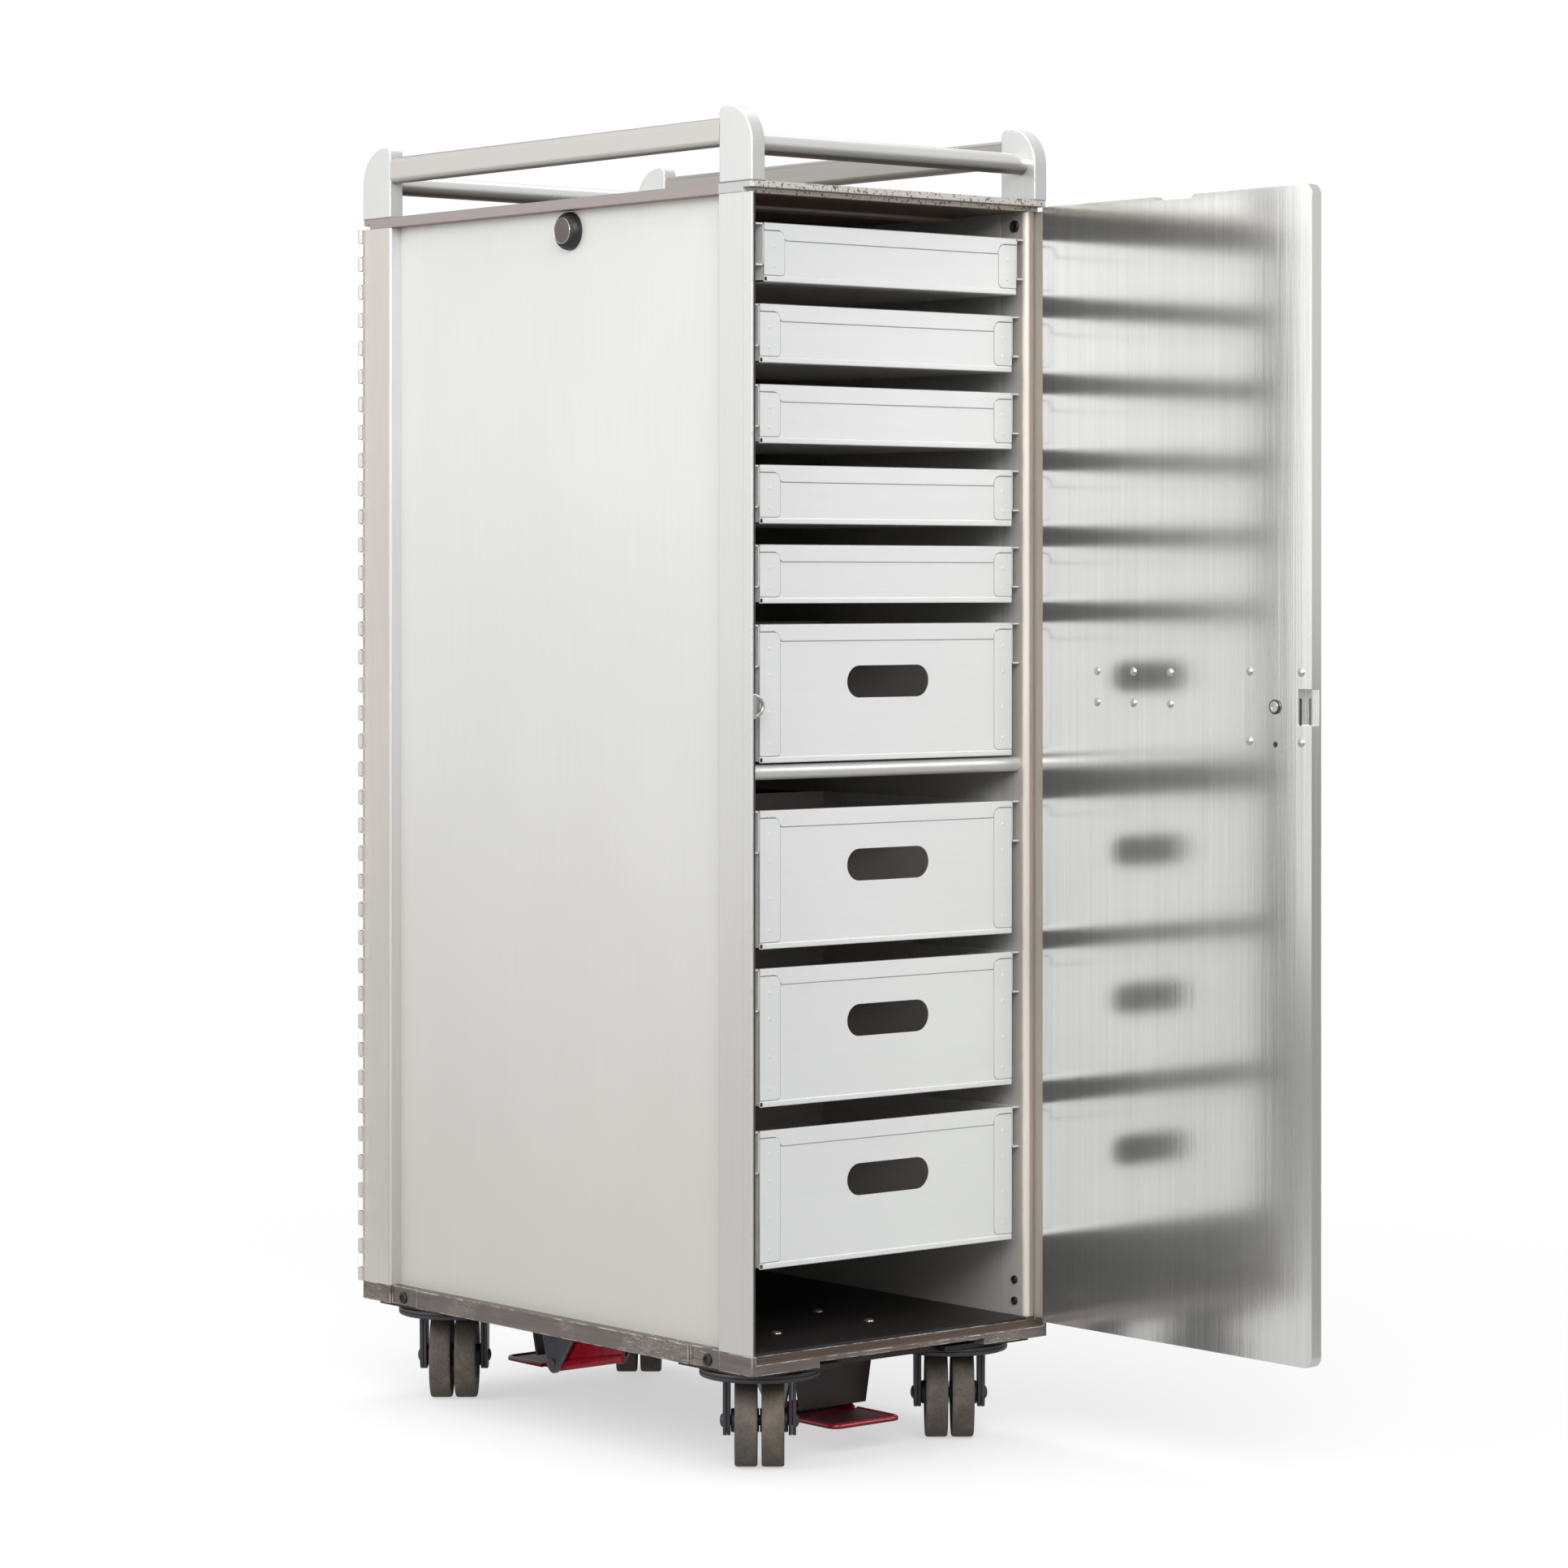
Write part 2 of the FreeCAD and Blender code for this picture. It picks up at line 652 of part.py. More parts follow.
def latch_room(free_edge):
    """The spindle's bore, the cam's pocket and the slot that takes the staple."""
    bore = rod((spindle_x, from_front(-1), size["latch_level"]),
               size["door_thick"] + 2, size["spindle_hole"], "Y")
    reach = size["cam_reach"] + size["cam_room"]
    side = size["cam_wide"] / 2 + size["cam_room"]
    near = from_front(size["cam_set"] - size["cam_room"])
    depth = size["cam_thick"] + size["cam_room"] * 2
    sweep = doc.addObject("Part::Cylinder", "CamSweep")
    sweep.Placement = Placement(Vector(), Rotation(Vector(1, 0, 0), -90))
    bind(sweep, "Radius", reach)
    bind(sweep, "Height", depth)
    place(sweep, (spindle_x, near, size["latch_level"]))
    quarter = doc.addObject("Part::MultiCommon", "CamPocket")
    quarter.Shapes = [sweep, box(
        (spindle_x - reach, near, size["latch_level"] - reach),
        (spindle_x + side, near + depth, size["latch_level"] + side))]
    half_slot = size["slot_tall"] / 2
    slot = box(
        (free_edge - 1, from_front(size["slot_skin"]), size["latch_level"] - half_slot),
        (free_edge + size["slot_deep"], from_front(size["door_thick"] + 1),
         size["latch_level"] + half_slot))
    return [bore, quarter, slot]


def door_rivets():
    """Rivet heads on the inner face, for the card holder and the lock plate."""
    face = from_front(size["door_thick"])
    heads = []
    for from_hinge in (62, 102, 142):
        for level in (604, 580):
            heads.append(rod((size["door_hinge_edge"] - from_hinge, face, level), 1.2, 3.4, "Y"))
    for across in (-26.5, 26.5):
        for up in (-26, 26):
            heads.append(rod((spindle_x + across, face, size["latch_level"] + up),
                             1.2, 3.4, "Y"))
    return group(heads)


def lock_plate():
    """The plate under the lever, on the outer face."""
    half = size["lock_plate"] / 2
    plate_box = box(
        (spindle_x - half, from_front(-size["plate_gauge"]), size["latch_level"] - half),
        (spindle_x + half, from_front(0), size["latch_level"] + half))
    bore = rod((spindle_x, from_front(-size["plate_gauge"] - 1), size["latch_level"]),
               size["plate_gauge"] + 2, size["spindle_hole"], "Y")
    return cut(plate_box, [bore])


def card_holder():
    """A shallow tray for a contents card, open at the top, on the outer face."""
    centre = size["door_hinge_edge"] - 102
    tray = box((centre - 52, from_front(-3), 568), (centre + 52, from_front(0), 622))
    card_room = box((centre - 50, from_front(-2), 570), (centre + 50, from_front(-1), 623))
    window = box((centre - 44, from_front(-4), 577), (centre + 44, from_front(-1.5), 623))
    return cut(tray, [card_room, window])


def latch_lever(angle):
    """Lever, spindle and cam as one turning piece; at 0 the cam is hooked."""
    level = size["latch_level"]
    outer = -size["plate_gauge"] - size["cam_room"] - size["lever_thick"]
    half = size["lever_wide"] / 2
    handle = fuse([
        box((spindle_x - half, from_front(outer), level - size["lever_long"]),
            (spindle_x + half, from_front(outer + size["lever_thick"]), level)),
        rod((spindle_x, from_front(outer), level), size["lever_thick"], half, "Y"),
        rod((spindle_x, from_front(outer), level - size["lever_long"]),
            size["lever_thick"], half, "Y"),
    ])
    spindle = rod((spindle_x, from_front(outer + 1), level),
                  size["door_thick"] - outer + 1, size["spindle_radius"], "Y")
    washer = rod((spindle_x, from_front(size["door_thick"] + 0.3), level), 1.4, 8, "Y")
    cam_half = size["cam_wide"] / 2
    cam = box(
        (spindle_x - size["cam_reach"] + 1, from_front(size["cam_set"]), level - cam_half),
        (spindle_x, from_front(size["cam_set"] + size["cam_thick"]), level + cam_half))
    whole = fuse([handle, spindle, washer, cam])
    about = Vector(spindle_x.value, 0, DIMENSIONS["latch_level"])
    holder = group([whole])
    holder.Placement = Placement(Vector(), Rotation(Vector(0, 1, 0), angle), about)
    return group([holder])


def make_doors():
    """The back door is closed; the front door stands open on its hinge."""
    hinge = Vector(hinge_x.value, from_front(hinge_from_front).value, 0)
    opened = Placement(Vector(), Rotation(Vector(0, 0, 1), FRONT_DOOR_OPEN), hinge)
    leaf, panel = door_leaf(), door_panel()
    rivets, escutcheon, holder = door_rivets(), lock_plate(), card_holder()
    for end, swing in (("front", opened), ("back", half_turn())):
        keep(f"{end}_door_panel", group([panel]), swing)
        keep(f"{end}_hinge_leaf", group([leaf]), swing)
        keep(f"{end}_door_rivets", group([rivets]), swing)
        keep(f"{end}_lock_plate", group([escutcheon]), swing)
        keep(f"{end}_card_holder", group([holder]), swing)
    keep("front_latch_lever", latch_lever(-90), opened)
    keep("back_latch_lever", latch_lever(0), half_turn())


# ---- drawers -------------------------------------------------------------------------

def drawer_front(top, bottom, front):
    """What stands proud of the drawer's front sheet: band, tabs and hem."""
    proud = front + size["tab_proud"]
    half = size["drawer_half"]
    pieces = [
        box((-half, front, top - size["band_tall"]), (half, proud, top)),
        box((-half, front, bottom), (half, proud, bottom + size["hem_tall"])),
    ]
    for low, high in ((-half, size["tab_wide"] - half), (half - size["tab_wide"], half)):
        pieces.append(box((low, front, bottom + size["hem_tall"] - 1),
                          (high, proud, top - size["tab_below_top"])))
    return pieces


def hand_slot(top, front):
    half_tall = size["hand_slot_tall"] / 2
    half_flat = size["hand_slot_wide"] / 2 - half_tall
    level = top - size["hand_slot_drop"]
    through = size["tab_proud"] + size["drawer_gauge"] + 2
    return fuse([
        box((-half_flat, front - 1, level - half_tall),
            (half_flat, front - 1 + through, level + half_tall)),
        rod((-half_flat, front - 1, level), through, half_tall, "Y"),
        rod((half_flat, front - 1, level), through, half_tall, "Y"),
    ])


def runner(top, front, side):
    """A channel on the drawer's side, open outwards, that hangs on its ledge."""
    gauge = size["drawer_gauge"]
    reach = [size["drawer_half"], size["runner_reach"]]
    hollow = [size["drawer_half"] + gauge, size["runner_reach"] + 1]
    if side < 0:
        reach = [-reach[1], -reach[0]]
        hollow = [-hollow[1], -hollow[0]]
    back = from_front(drawer_back)
    low = top - size["runner_tall"]
    return cut(
        box((reach[0], front + size["tab_proud"], low), (reach[1], back, top)),
        [box((hollow[0], front, low + gauge), (hollow[1], back + 1, top - gauge))])


def make_drawer(number, top_level, deep):
    top = as_size(top_level)
    bottom = top - size["deep_tall" if deep else "shallow_tall"]
    front = from_front(size["drawer_set"])
    half, gauge = size["drawer_half"], size["drawer_gauge"]
    skin = front + size["tab_proud"]
    tub = cut(
        box((-half, skin, bottom), (half, from_front(drawer_back), top)),
        [box((gauge - half, skin + gauge, bottom + gauge),
             (half - gauge, from_front(drawer_back) - gauge, top + 1))])
    shell = fuse([tub] + drawer_front(top, bottom, front))
    if deep:
        shell = cut(shell, [hand_slot(top, front)])
    whole = group([shell, runner(top, front, -1), runner(top, front, 1)])
    if number == 1:
        whole.Placement = Placement(Vector(0, -DIMENSIONS["first_drawer_out"], 0), Rotation())
    keep(f"drawer_{number}", whole)


# ---- casters -------------------------------------------------------------------------

def caster_yoke():
    """Swivel disc with its stud, two legs, and the axle as a solid of its own."""
    disc = rod((0, 0, size["disc_bottom"]), size["disc_top"] - size["disc_bottom"],
               size["disc_radius"], "Z")
    stud = rod((0, 0, size["disc_top"] - 1), size["base_bottom"] - size["disc_top"] + 1,
               size["stud_radius"], "Z")
    inner = size["yoke_outer"] - size["yoke_gauge"]
    level = size["wheel_radius"]
    legs = []
    for start in (inner, -size["yoke_outer"]):
        legs.append(plate("YokeLeg", "YZ_Plane", [
            (-size["yoke_half"], level), (size["yoke_half"], level),
            (size["yoke_top_half"], size["disc_bottom"] + 1),
            (-size["yoke_top_half"], size["disc_bottom"] + 1),
        ], start, size["yoke_gauge"]))
        legs.append(rod((start, 0, level), size["yoke_gauge"], size["yoke_half"], "X"))
    reach = size["yoke_outer"] + 1
    bore = rod((-reach, 0, level), reach * 2, size["axle_hole"], "X")
    frame = cut(fuse([disc, stud] + legs), [bore])
    head = size["axle_head_tall"]
    outer = size["yoke_outer"]
    axle = fuse([
        rod((-outer - 1, 0, level), outer * 2 + 2, size["axle_radius"], "X"),
        rod((-outer - head, 0, level), head, size["axle_head"], "X"),
        rod((outer, 0, level), head, size["axle_head"], "X"),
    ])
    return group([frame, axle])


def caster_wheel():
    """One of the twin wheels, turned about the axle, with its hub bosses."""
    near = size["wheel_gap"] / 2
    far = near + size["wheel_wide"]
    boss = size["yoke_outer"] - size["yoke_gauge"] - size["hub_clear"]
    bore, hub = size["axle_hole"], size["hub_radius"]
    rim, shoulder = size["wheel_radius"], size["wheel_shoulder"]
    body = new_body("Wheel")
    sketch = new_sketch(body, "XY_Plane")
    polygon(sketch, [
        (size["hub_clear"], bore), (boss, bore), (boss, hub), (far, hub),
        (far, rim - shoulder), (far - shoulder, rim), (near + shoulder, rim),
        (near, rim - shoulder), (near, hub), (size["hub_clear"], hub),
    ])
    turning = body.newObject("PartDesign::Revolution", "Turning")
    turning.Profile = sketch
    turning.ReferenceAxis = (sketch, ["H_Axis"])
    turning.Angle = 360
    return body


def make_casters():
    yoke, wheel = caster_yoke(), caster_wheel()
    centre_x = (half_width - size["caster_in_x"]).value
    centre_y = (half_depth - size["caster_in_y"]).value
    stand = Rotation(Vector(0, 0, 1), CASTER_TURN)
    corners = {
        "front_left": (-centre_x, -centre_y), "front_right": (centre_x, -centre_y),
        "back_left": (-centre_x, centre_y), "back_right": (centre_x, centre_y),
    }
    for corner, (across, along) in corners.items():
        foot = Placement(Vector(across, along, 0), stand)
        hub = Placement(Vector(across, along, DIMENSIONS["wheel_radius"]), stand)
        keep(f"{corner}_caster_yoke", group([yoke]), foot)
        keep(f"{corner}_wheel_a", group([wheel]), hub)
        keep(f"{corner}_wheel_b", group([wheel]), hub.multiply(half_turn()))
    make_caster_plates(corners.values())


def make_caster_plates(centres):
    """The fixed plates that carry the casters' studs, under the base's corners."""
    plates = []
    half = size["plate_half"]
    for across, along in centres:
        plates.append(cut(
            box((across - half, along - half, size["plate_bottom"]),
                (across + half, along + half, size["base_bottom"])),
            [rod((across, along, size["plate_bottom"] - 1), 8, size["stud_hole"], "Z")]))
    keep("caster_plates", group(plates))


# ---- brake pedals --------------------------------------------------------------------

def pedal(end, floor_end, tail):
    """Tread and inner arm: a folded channel that rocks on the cross pin.

    The tail gives the corners of the arm's inner end, each a depth and a rise. The arm
    has a floor and two sides as far as floor_end, and only its right side beyond that.
    """
    start = size["pedal_start"]
    pivot, gauge = size["pivot_from_front"], size["pedal_gauge"]
    floor, half = size["tread_bottom"], size["pedal_half"]
    knee = pivot + size["arm_knee"]
    side = [(start, 0), (knee, -1)] + tail
    side += [(pivot + size["arm_shoulder"], size["arm_tall"]),
             (pivot - size["arm_heel"], size["arm_heel_rise"]), (start, size["arm_toe"])]
    arm = plate("PedalArm", "YZ_Plane", [
        (from_front(depth), floor + rise) for depth, rise in side
    ], -half, half * 2)
    above = size["arm_tall"] + 1
    inside = half - size["pedal_wall"]
    hollow = [(start - 1, gauge), (knee, gauge - 1), (end + 1, gauge + tail[0][1]),
              (end + 1, above), (start - 1, above)]
    room = plate("PedalRoom", "YZ_Plane", [
        (from_front(depth), floor + rise) for depth, rise in hollow
    ], -inside, inside * 2)
    gap = box((-half - 1, from_front(floor_end), floor - 2),
              (inside, from_front(end + 1), floor + above))
    tread = new_body("Tread")
    sketch = new_sketch(tread, "XY_Plane", floor)
    wide = size["tread_half"]
    polygon(sketch, rectangle(-wide, wide, from_front(size["tread_start"]),
                              from_front(start + 2)))
    pad(tread, sketch, gauge)
    front_edge = from_front(size["tread_start"]).value
    round_edges(tread, 9, lambda edge: edge_runs(edge, Vector(0, 0, 1))
                and abs(edge.CenterOfMass.y - front_edge) < 0.1)
    bore = rod((-half - 1, from_front(pivot), size["pivot_level"]), half * 2 + 2,
               size["axle_hole"], "X")
    return cut(fuse([cut(arm, [room, gap]), tread]), [bore])


def pedal_bracket(start):
    """A wing under the crossmember that runs into the eye round the cross pin."""
    pivot, level = size["pivot_from_front"], size["pivot_level"]
    wing = plate("Bracket", "YZ_Plane", [
        (from_front(pivot - size["foot_front"]), level - size["foot_front_drop"]),
        (from_front(pivot + size["foot_back"]), level - size["foot_back_drop"]),
        (from_front(pivot + size["wing_back"]), size["plate_bottom"]),
        (from_front(pivot - size["wing_front"]), size["plate_bottom"]),
    ], start, size["bracket_gauge"])
    eye = rod((start, from_front(pivot), size["pivot_level"]), size["bracket_gauge"],
              size["eye_radius"], "X")
    bore = rod((start - 1, from_front(pivot), size["pivot_level"]),
               size["bracket_gauge"] + 2, size["axle_hole"], "X")
    return cut(fuse([wing, eye]), [bore])


def make_pedals():
    pivot = size["pivot_from_front"]
    front_end, back_end = size["front_pedal_end"], size["back_pedal_end"]
    front_tail = [(front_end, size["front_tip_rise"]), (front_end, size["arm_tall"])]
    back_tail = [(back_end, size["back_tip_rise"]), (back_end, size["back_tip_tall"]),
                 (pivot + size["arm_top_end"], size["arm_tall"])]
    keep("front_pedal", group([pedal(front_end, front_end, front_tail)]))
    keep("back_pedal", group([pedal(back_end, size["pedal_floor_end"], back_tail)]),
         half_turn())
    out, gauge = size["bracket_out"], size["bracket_gauge"]
    pin_reach = out + size["pin_proud"]
    pin = rod((-pin_reach, from_front(pivot), size["pivot_level"]),
              pin_reach * 2, size["axle_radius"], "X")
    pieces = [pedal_bracket(out - gauge), pedal_bracket(-out), pin]
    keep("pedal_brackets", group(pieces + [turned(piece) for piece in pieces]))
    low, high = size["guard_half"], size["guard_top_half"]
    guard_back = size["guard_set"] + size["guard_gauge"]
    guard = plate("Guard", "XZ_Plane", [
        (-low, size["guard_bottom"]), (low, size["guard_bottom"]),
        (high, size["plate_bottom"]), (-high, size["plate_bottom"]),
    ], -from_front(guard_back), size["guard_gauge"])
    across = half_width - size["caster_in_x"] - size["plate_half"]
    member = box((-across, from_front(size["cross_start"]), size["plate_bottom"]),
                 (across, from_front(size["cross_end"]), size["base_bottom"]))
    brace = fuse([guard, member])
    keep("pedal_crossmembers", group([brace, turned(brace)]))


# ---- build, check and write ----------------------------------------------------------

def check_document():
    """Stop if any object failed, or a sub-part has no sound shape."""
    doc.recompute()
    for thing in doc.Objects:
        if "Invalid" in thing.State or "Error" in thing.State:
            raise RuntimeError(f"{thing.Name} ({thing.Label}) failed: {thing.State}")
    for thing in nodes:
        shape = thing.Shape
        if shape.isNull() or not shape.isValid() or not shape.Solids:
            raise RuntimeError(f"{thing.Label} has no valid solid")


def write_parts():
    os.makedirs("parts", exist_ok=True)
    for thing in nodes:
        thing.Shape.exportStep(f"parts/{thing.Label}.step")
        bounds = thing.Shape.BoundBox
        print(f"{thing.Label}: {len(thing.Shape.Solids)} solids, "
              f"{thing.Shape.Volume / 1000:.1f} cm3, "
              f"x {bounds.XMin:.1f}..{bounds.XMax:.1f}, "
              f"y {bounds.YMin:.1f}..{bounds.YMax:.1f}, "
              f"z {bounds.ZMin:.1f}..{bounds.ZMax:.1f}")


make_base_frame()
make_floor()
make_deck()
make_ceiling_beams()
make_side_panels()
make_posts()
make_rail_posts()
make_rails()
make_guide_rails()
make_cross_bars()
make_latch_strikes()
make_door_catches()
make_screws()
make_frame_leaves()
make_doors()
for drawer_number, (drawer_top, is_deep) in enumerate(DRAWERS, start=1):
    make_drawer(drawer_number, drawer_top, is_deep)
make_casters()
make_pedals()
check_document()
write_parts()
print(len(nodes), "sub-parts")
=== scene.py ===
"""The looks of the airline galley cart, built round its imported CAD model.

The frame is the model's own: metres, +Z up, the front faces -Y, the floor is z = 0.
Shapes are written in millimetres here, and scaled when each piece is finished.
"""
import math

import bmesh
import bpy
from mathutils import Matrix, Vector


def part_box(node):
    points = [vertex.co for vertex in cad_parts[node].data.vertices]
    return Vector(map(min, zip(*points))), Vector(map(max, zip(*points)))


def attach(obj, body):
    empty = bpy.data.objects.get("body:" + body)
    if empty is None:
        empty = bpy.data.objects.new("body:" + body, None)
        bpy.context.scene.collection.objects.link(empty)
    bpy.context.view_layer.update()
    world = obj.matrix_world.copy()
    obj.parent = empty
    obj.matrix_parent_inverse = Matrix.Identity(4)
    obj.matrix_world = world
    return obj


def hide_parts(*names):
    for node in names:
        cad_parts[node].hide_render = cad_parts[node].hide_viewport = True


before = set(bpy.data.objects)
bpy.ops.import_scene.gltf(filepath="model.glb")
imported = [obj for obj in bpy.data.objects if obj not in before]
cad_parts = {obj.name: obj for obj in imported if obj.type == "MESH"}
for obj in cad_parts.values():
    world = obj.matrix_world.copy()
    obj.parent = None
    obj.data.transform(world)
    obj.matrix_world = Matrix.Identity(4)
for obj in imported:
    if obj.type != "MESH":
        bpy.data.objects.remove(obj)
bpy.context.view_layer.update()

SIDES = (-1, 1)
SCALE = 0.001
SHARP_ANGLE = math.radians(35)


def box_mm(node):
    """A node's box, as its low and high corners in millimetres."""
    low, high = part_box(node)
    return low / SCALE, high / SCALE


# Places that several pieces share, read from the frame.
BASE_LOW, BASE_HIGH = box_mm("base_frame")
HALF_WIDTH, HALF_DEPTH = BASE_HIGH.x, BASE_HIGH.y
FRONT = -HALF_DEPTH
PANEL_LOW, PANEL_HIGH = box_mm("right_side_panel")
WALL = PANEL_LOW.x
BUMPER_TOP, CEILING = PANEL_LOW.z, PANEL_HIGH.z
JAMB = box_mm("front_right_post")[0].y
POST_BACK = box_mm("front_left_post")[1].y
LIP = 1.8 - HALF_WIDTH          # inner face of the latch post's thin stop lip


def span(side, first, last):
    """A stretch across the cart on one side of its middle, from low to high."""
    return sorted((side * first, side * last))


# ---- outlines ----

def arc(centre, radius, start, end, steps=6):
    """Points of an arc, from one angle to another in degrees."""
    points = []
    for step in range(steps + 1):
        angle = math.radians(start + (end - start) * step / steps)
        points.append((centre[0] + radius * math.cos(angle),
                       centre[1] + radius * math.sin(angle)))
    return points


def rounded(low, high, radii, steps=5):
    """A rectangle; its corner radii go against the clock from the lowest corner."""
    if isinstance(radii, (int, float)):
        radii = [radii] * 4
    corners = [(low[0], low[1], 1, 1), (high[0], low[1], -1, 1),
               (high[0], high[1], -1, -1), (low[0], high[1], 1, -1)]
    outline = []
    for index, ((across, up, right, above), radius) in enumerate(zip(corners, radii)):
        start = 180 + 90 * index
        if radius:
            centre = (across + right * radius, up + above * radius)
            outline += arc(centre, radius, start, start + 90, steps)
        else:
            outline.append((across, up))
    return outline


def softened(corners, radii, steps=5):
    """A polygon with each corner rounded by its radius, bulging in or out alike."""
    outline = []
    count = len(corners)
    for index, (corner, radius) in enumerate(zip(corners, radii)):
        here = Vector(corner)
        back = (Vector(corners[index - 1]) - here).normalized()
        ahead = (Vector(corners[(index + 1) % count]) - here).normalized()
        if not radius:
            outline.append(tuple(here))
            continue
        half = back.angle(ahead) / 2
        reach = radius / math.tan(half)
        middle = (back + ahead).normalized() * (radius / math.sin(half))
        start, end = here + back * reach, here + ahead * reach
        centre = here + middle
        for step in range(steps + 1):
            spoke = (start - centre).lerp(end - centre, step / steps)
            outline.append(tuple(centre + spoke.normalized() * radius))
    return outline


# ---- solids ----

# How a plate's own X, Y and thickness lie in the frame.
FACING = {
    "X": Matrix(((0, 0, 1), (1, 0, 0), (0, 1, 0))),
    "Y": Matrix(((1, 0, 0), (0, 0, -1), (0, 1, 0))),
    "Z": Matrix.Identity(3),
}


def plate_mesh(outlines, thick, edge, grow):
    """A plate with holes and rounded edges, filled from closed outlines grown a little."""
    curve = bpy.data.curves.new("outline", "CURVE")
    curve.dimensions = "2D"
    curve.fill_mode = "BOTH"
    curve.extrude = thick / 2 - edge
    curve.bevel_depth = edge
    curve.bevel_resolution = 2
    curve.offset = grow - edge
    for outline in outlines:
        spline = curve.splines.new("POLY")
        spline.points.add(len(outline) - 1)
        for point, (across, up) in zip(spline.points, outline):
            point.co = (across, up, 0, 1)
        spline.use_cyclic_u = True
    holder = bpy.data.objects.new("outline", curve)
    mesh = bpy.data.meshes.new_from_object(holder)
    bpy.data.objects.remove(holder)
    bpy.data.curves.remove(curve)
    return mesh


class Solid:
    """Mesh code for one piece, in millimetres."""

    def __init__(self):
        self.mesh = bmesh.new()

    def paint(self, faces, material, inside=None):
        """Set a material; faces that look towards the point inside get the next one."""
        for face in faces:
            face.normal_update()
            looks_in = False
            if inside is not None:
                away = Vector(inside) - face.calc_center_median()
                looks_in = face.normal.dot(away) > 0
            face.material_index = material + (1 if looks_in else 0)

    def plate(self, outlines, facing, low, high, edge=0.3, material=0, inside=None,
              grow=0.0):
        """A plate that faces along an axis, from low to high on it."""
        mesh = plate_mesh(outlines, high - low, min(edge, (high - low) * 0.49), grow)
        known_faces, known_verts = len(self.mesh.faces), len(self.mesh.verts)
        self.mesh.from_mesh(mesh)
        bpy.data.meshes.remove(mesh)
        self.mesh.verts.ensure_lookup_table()
        self.mesh.faces.ensure_lookup_table()
        shift = Vector((0, 0, 0))
        shift["XYZ".index(facing)] = (low + high) / 2
        matrix = Matrix.Translation(shift) @ FACING[facing].to_4x4()
        bmesh.ops.transform(self.mesh, matrix=matrix, verts=self.mesh.verts[known_verts:])
        self.paint(self.mesh.faces[known_faces:], material, inside)

    def box(self, low, high, material=0, inside=None):
        low, high = Vector(low), Vector(high)
        made = bmesh.ops.create_cube(self.mesh, size=1)
        place = Matrix.Translation((low + high) / 2) @ Matrix.Diagonal((*(high - low), 1))
        bmesh.ops.transform(self.mesh, matrix=place, verts=made["verts"])
        faces = {face for vert in made["verts"] for face in vert.link_faces}
        self.paint(faces, material, inside)

    def loft(self, rings, material=0, closed=True):
        """Skin over rings of points; closed joins the last ring to the first."""
        laid = [[self.mesh.verts.new(point) for point in ring] for ring in rings]
        following = laid[1:] + (laid[:1] if closed else [])
        count = len(laid[0])
        made = []
        for here, there in zip(laid, following):
            for index in range(count):
                after = (index + 1) % count
                made.append(self.mesh.faces.new(
                    (here[index], here[after], there[after], there[index])))
        if not closed:
            made.append(self.mesh.faces.new(laid[0]))
            made.append(self.mesh.faces.new(laid[-1]))
        self.paint(made, material)

    def lathe(self, profile, centre, axis, steps=48, material=0):
        """A closed profile of (along, radius) points turned about an axis."""
        turn = Vector((0, 0, 1)).rotation_difference(Vector(axis).normalized())
        place = Matrix.Translation(Vector(centre)) @ turn.to_matrix().to_4x4()
        rings = []
        for step in range(steps):
            angle = 2 * math.pi * step / steps
            spoke = Vector((math.cos(angle), math.sin(angle), 0))
            rings.append([place @ (spoke * radius + Vector((0, 0, along)))
                          for along, radius in profile])
        self.loft(rings, material)

    def rod(self, start, end, radius, material=0):
        """A round bar with softened ends."""
        start, end, edge = Vector(start), Vector(end), 0.4
        long = (end - start).length
        profile = [(0, 0.02), (0, radius - edge), (edge * 0.3, radius - edge * 0.3),
                   (edge, radius), (long - edge, radius),
                   (long - edge * 0.3, radius - edge * 0.3), (long, radius - edge),
                   (long, 0.02)]
        self.lathe(profile, start, end - start, 32, material)

    def dome(self, base, axis, radius, tall):
        """A low rounded head that stands on a surface."""
        profile = [(-0.2, 0.02), (-0.2, radius)]
        for step in range(5):
            angle = math.radians(18 * step)
            profile.append((tall * math.sin(angle), radius * math.cos(angle)))
        profile.append((tall, 0.02))
        self.lathe(profile, base, axis, 24)

    def tube(self, path, radius):
        """A round wire bent along a path of points."""
        path, sides = [Vector(point) for point in path], 14
        rings = []
        across = None
        for index, point in enumerate(path):
            before, after = path[max(index - 1, 0)], path[min(index + 1, len(path) - 1)]
            along = (after - before).normalized()
            if across is None:
                across = along.orthogonal().normalized()
            across = (across - along * across.dot(along)).normalized()
            up = along.cross(across)
            ring = []
            for side in range(sides):
                angle = 2 * math.pi * side / sides
                spoke = across * math.cos(angle) + up * math.sin(angle)
                ring.append(point + spoke * radius)
            rings.append(ring)
        self.loft(rings, closed=False)

    def turn(self, matrix):
        bmesh.ops.transform(self.mesh, matrix=matrix, verts=self.mesh.verts)


def placed(name, data):
    """A new object in the scene."""
    thing = bpy.data.objects.new(name, data)
    bpy.context.scene.collection.objects.link(thing)
    return thing


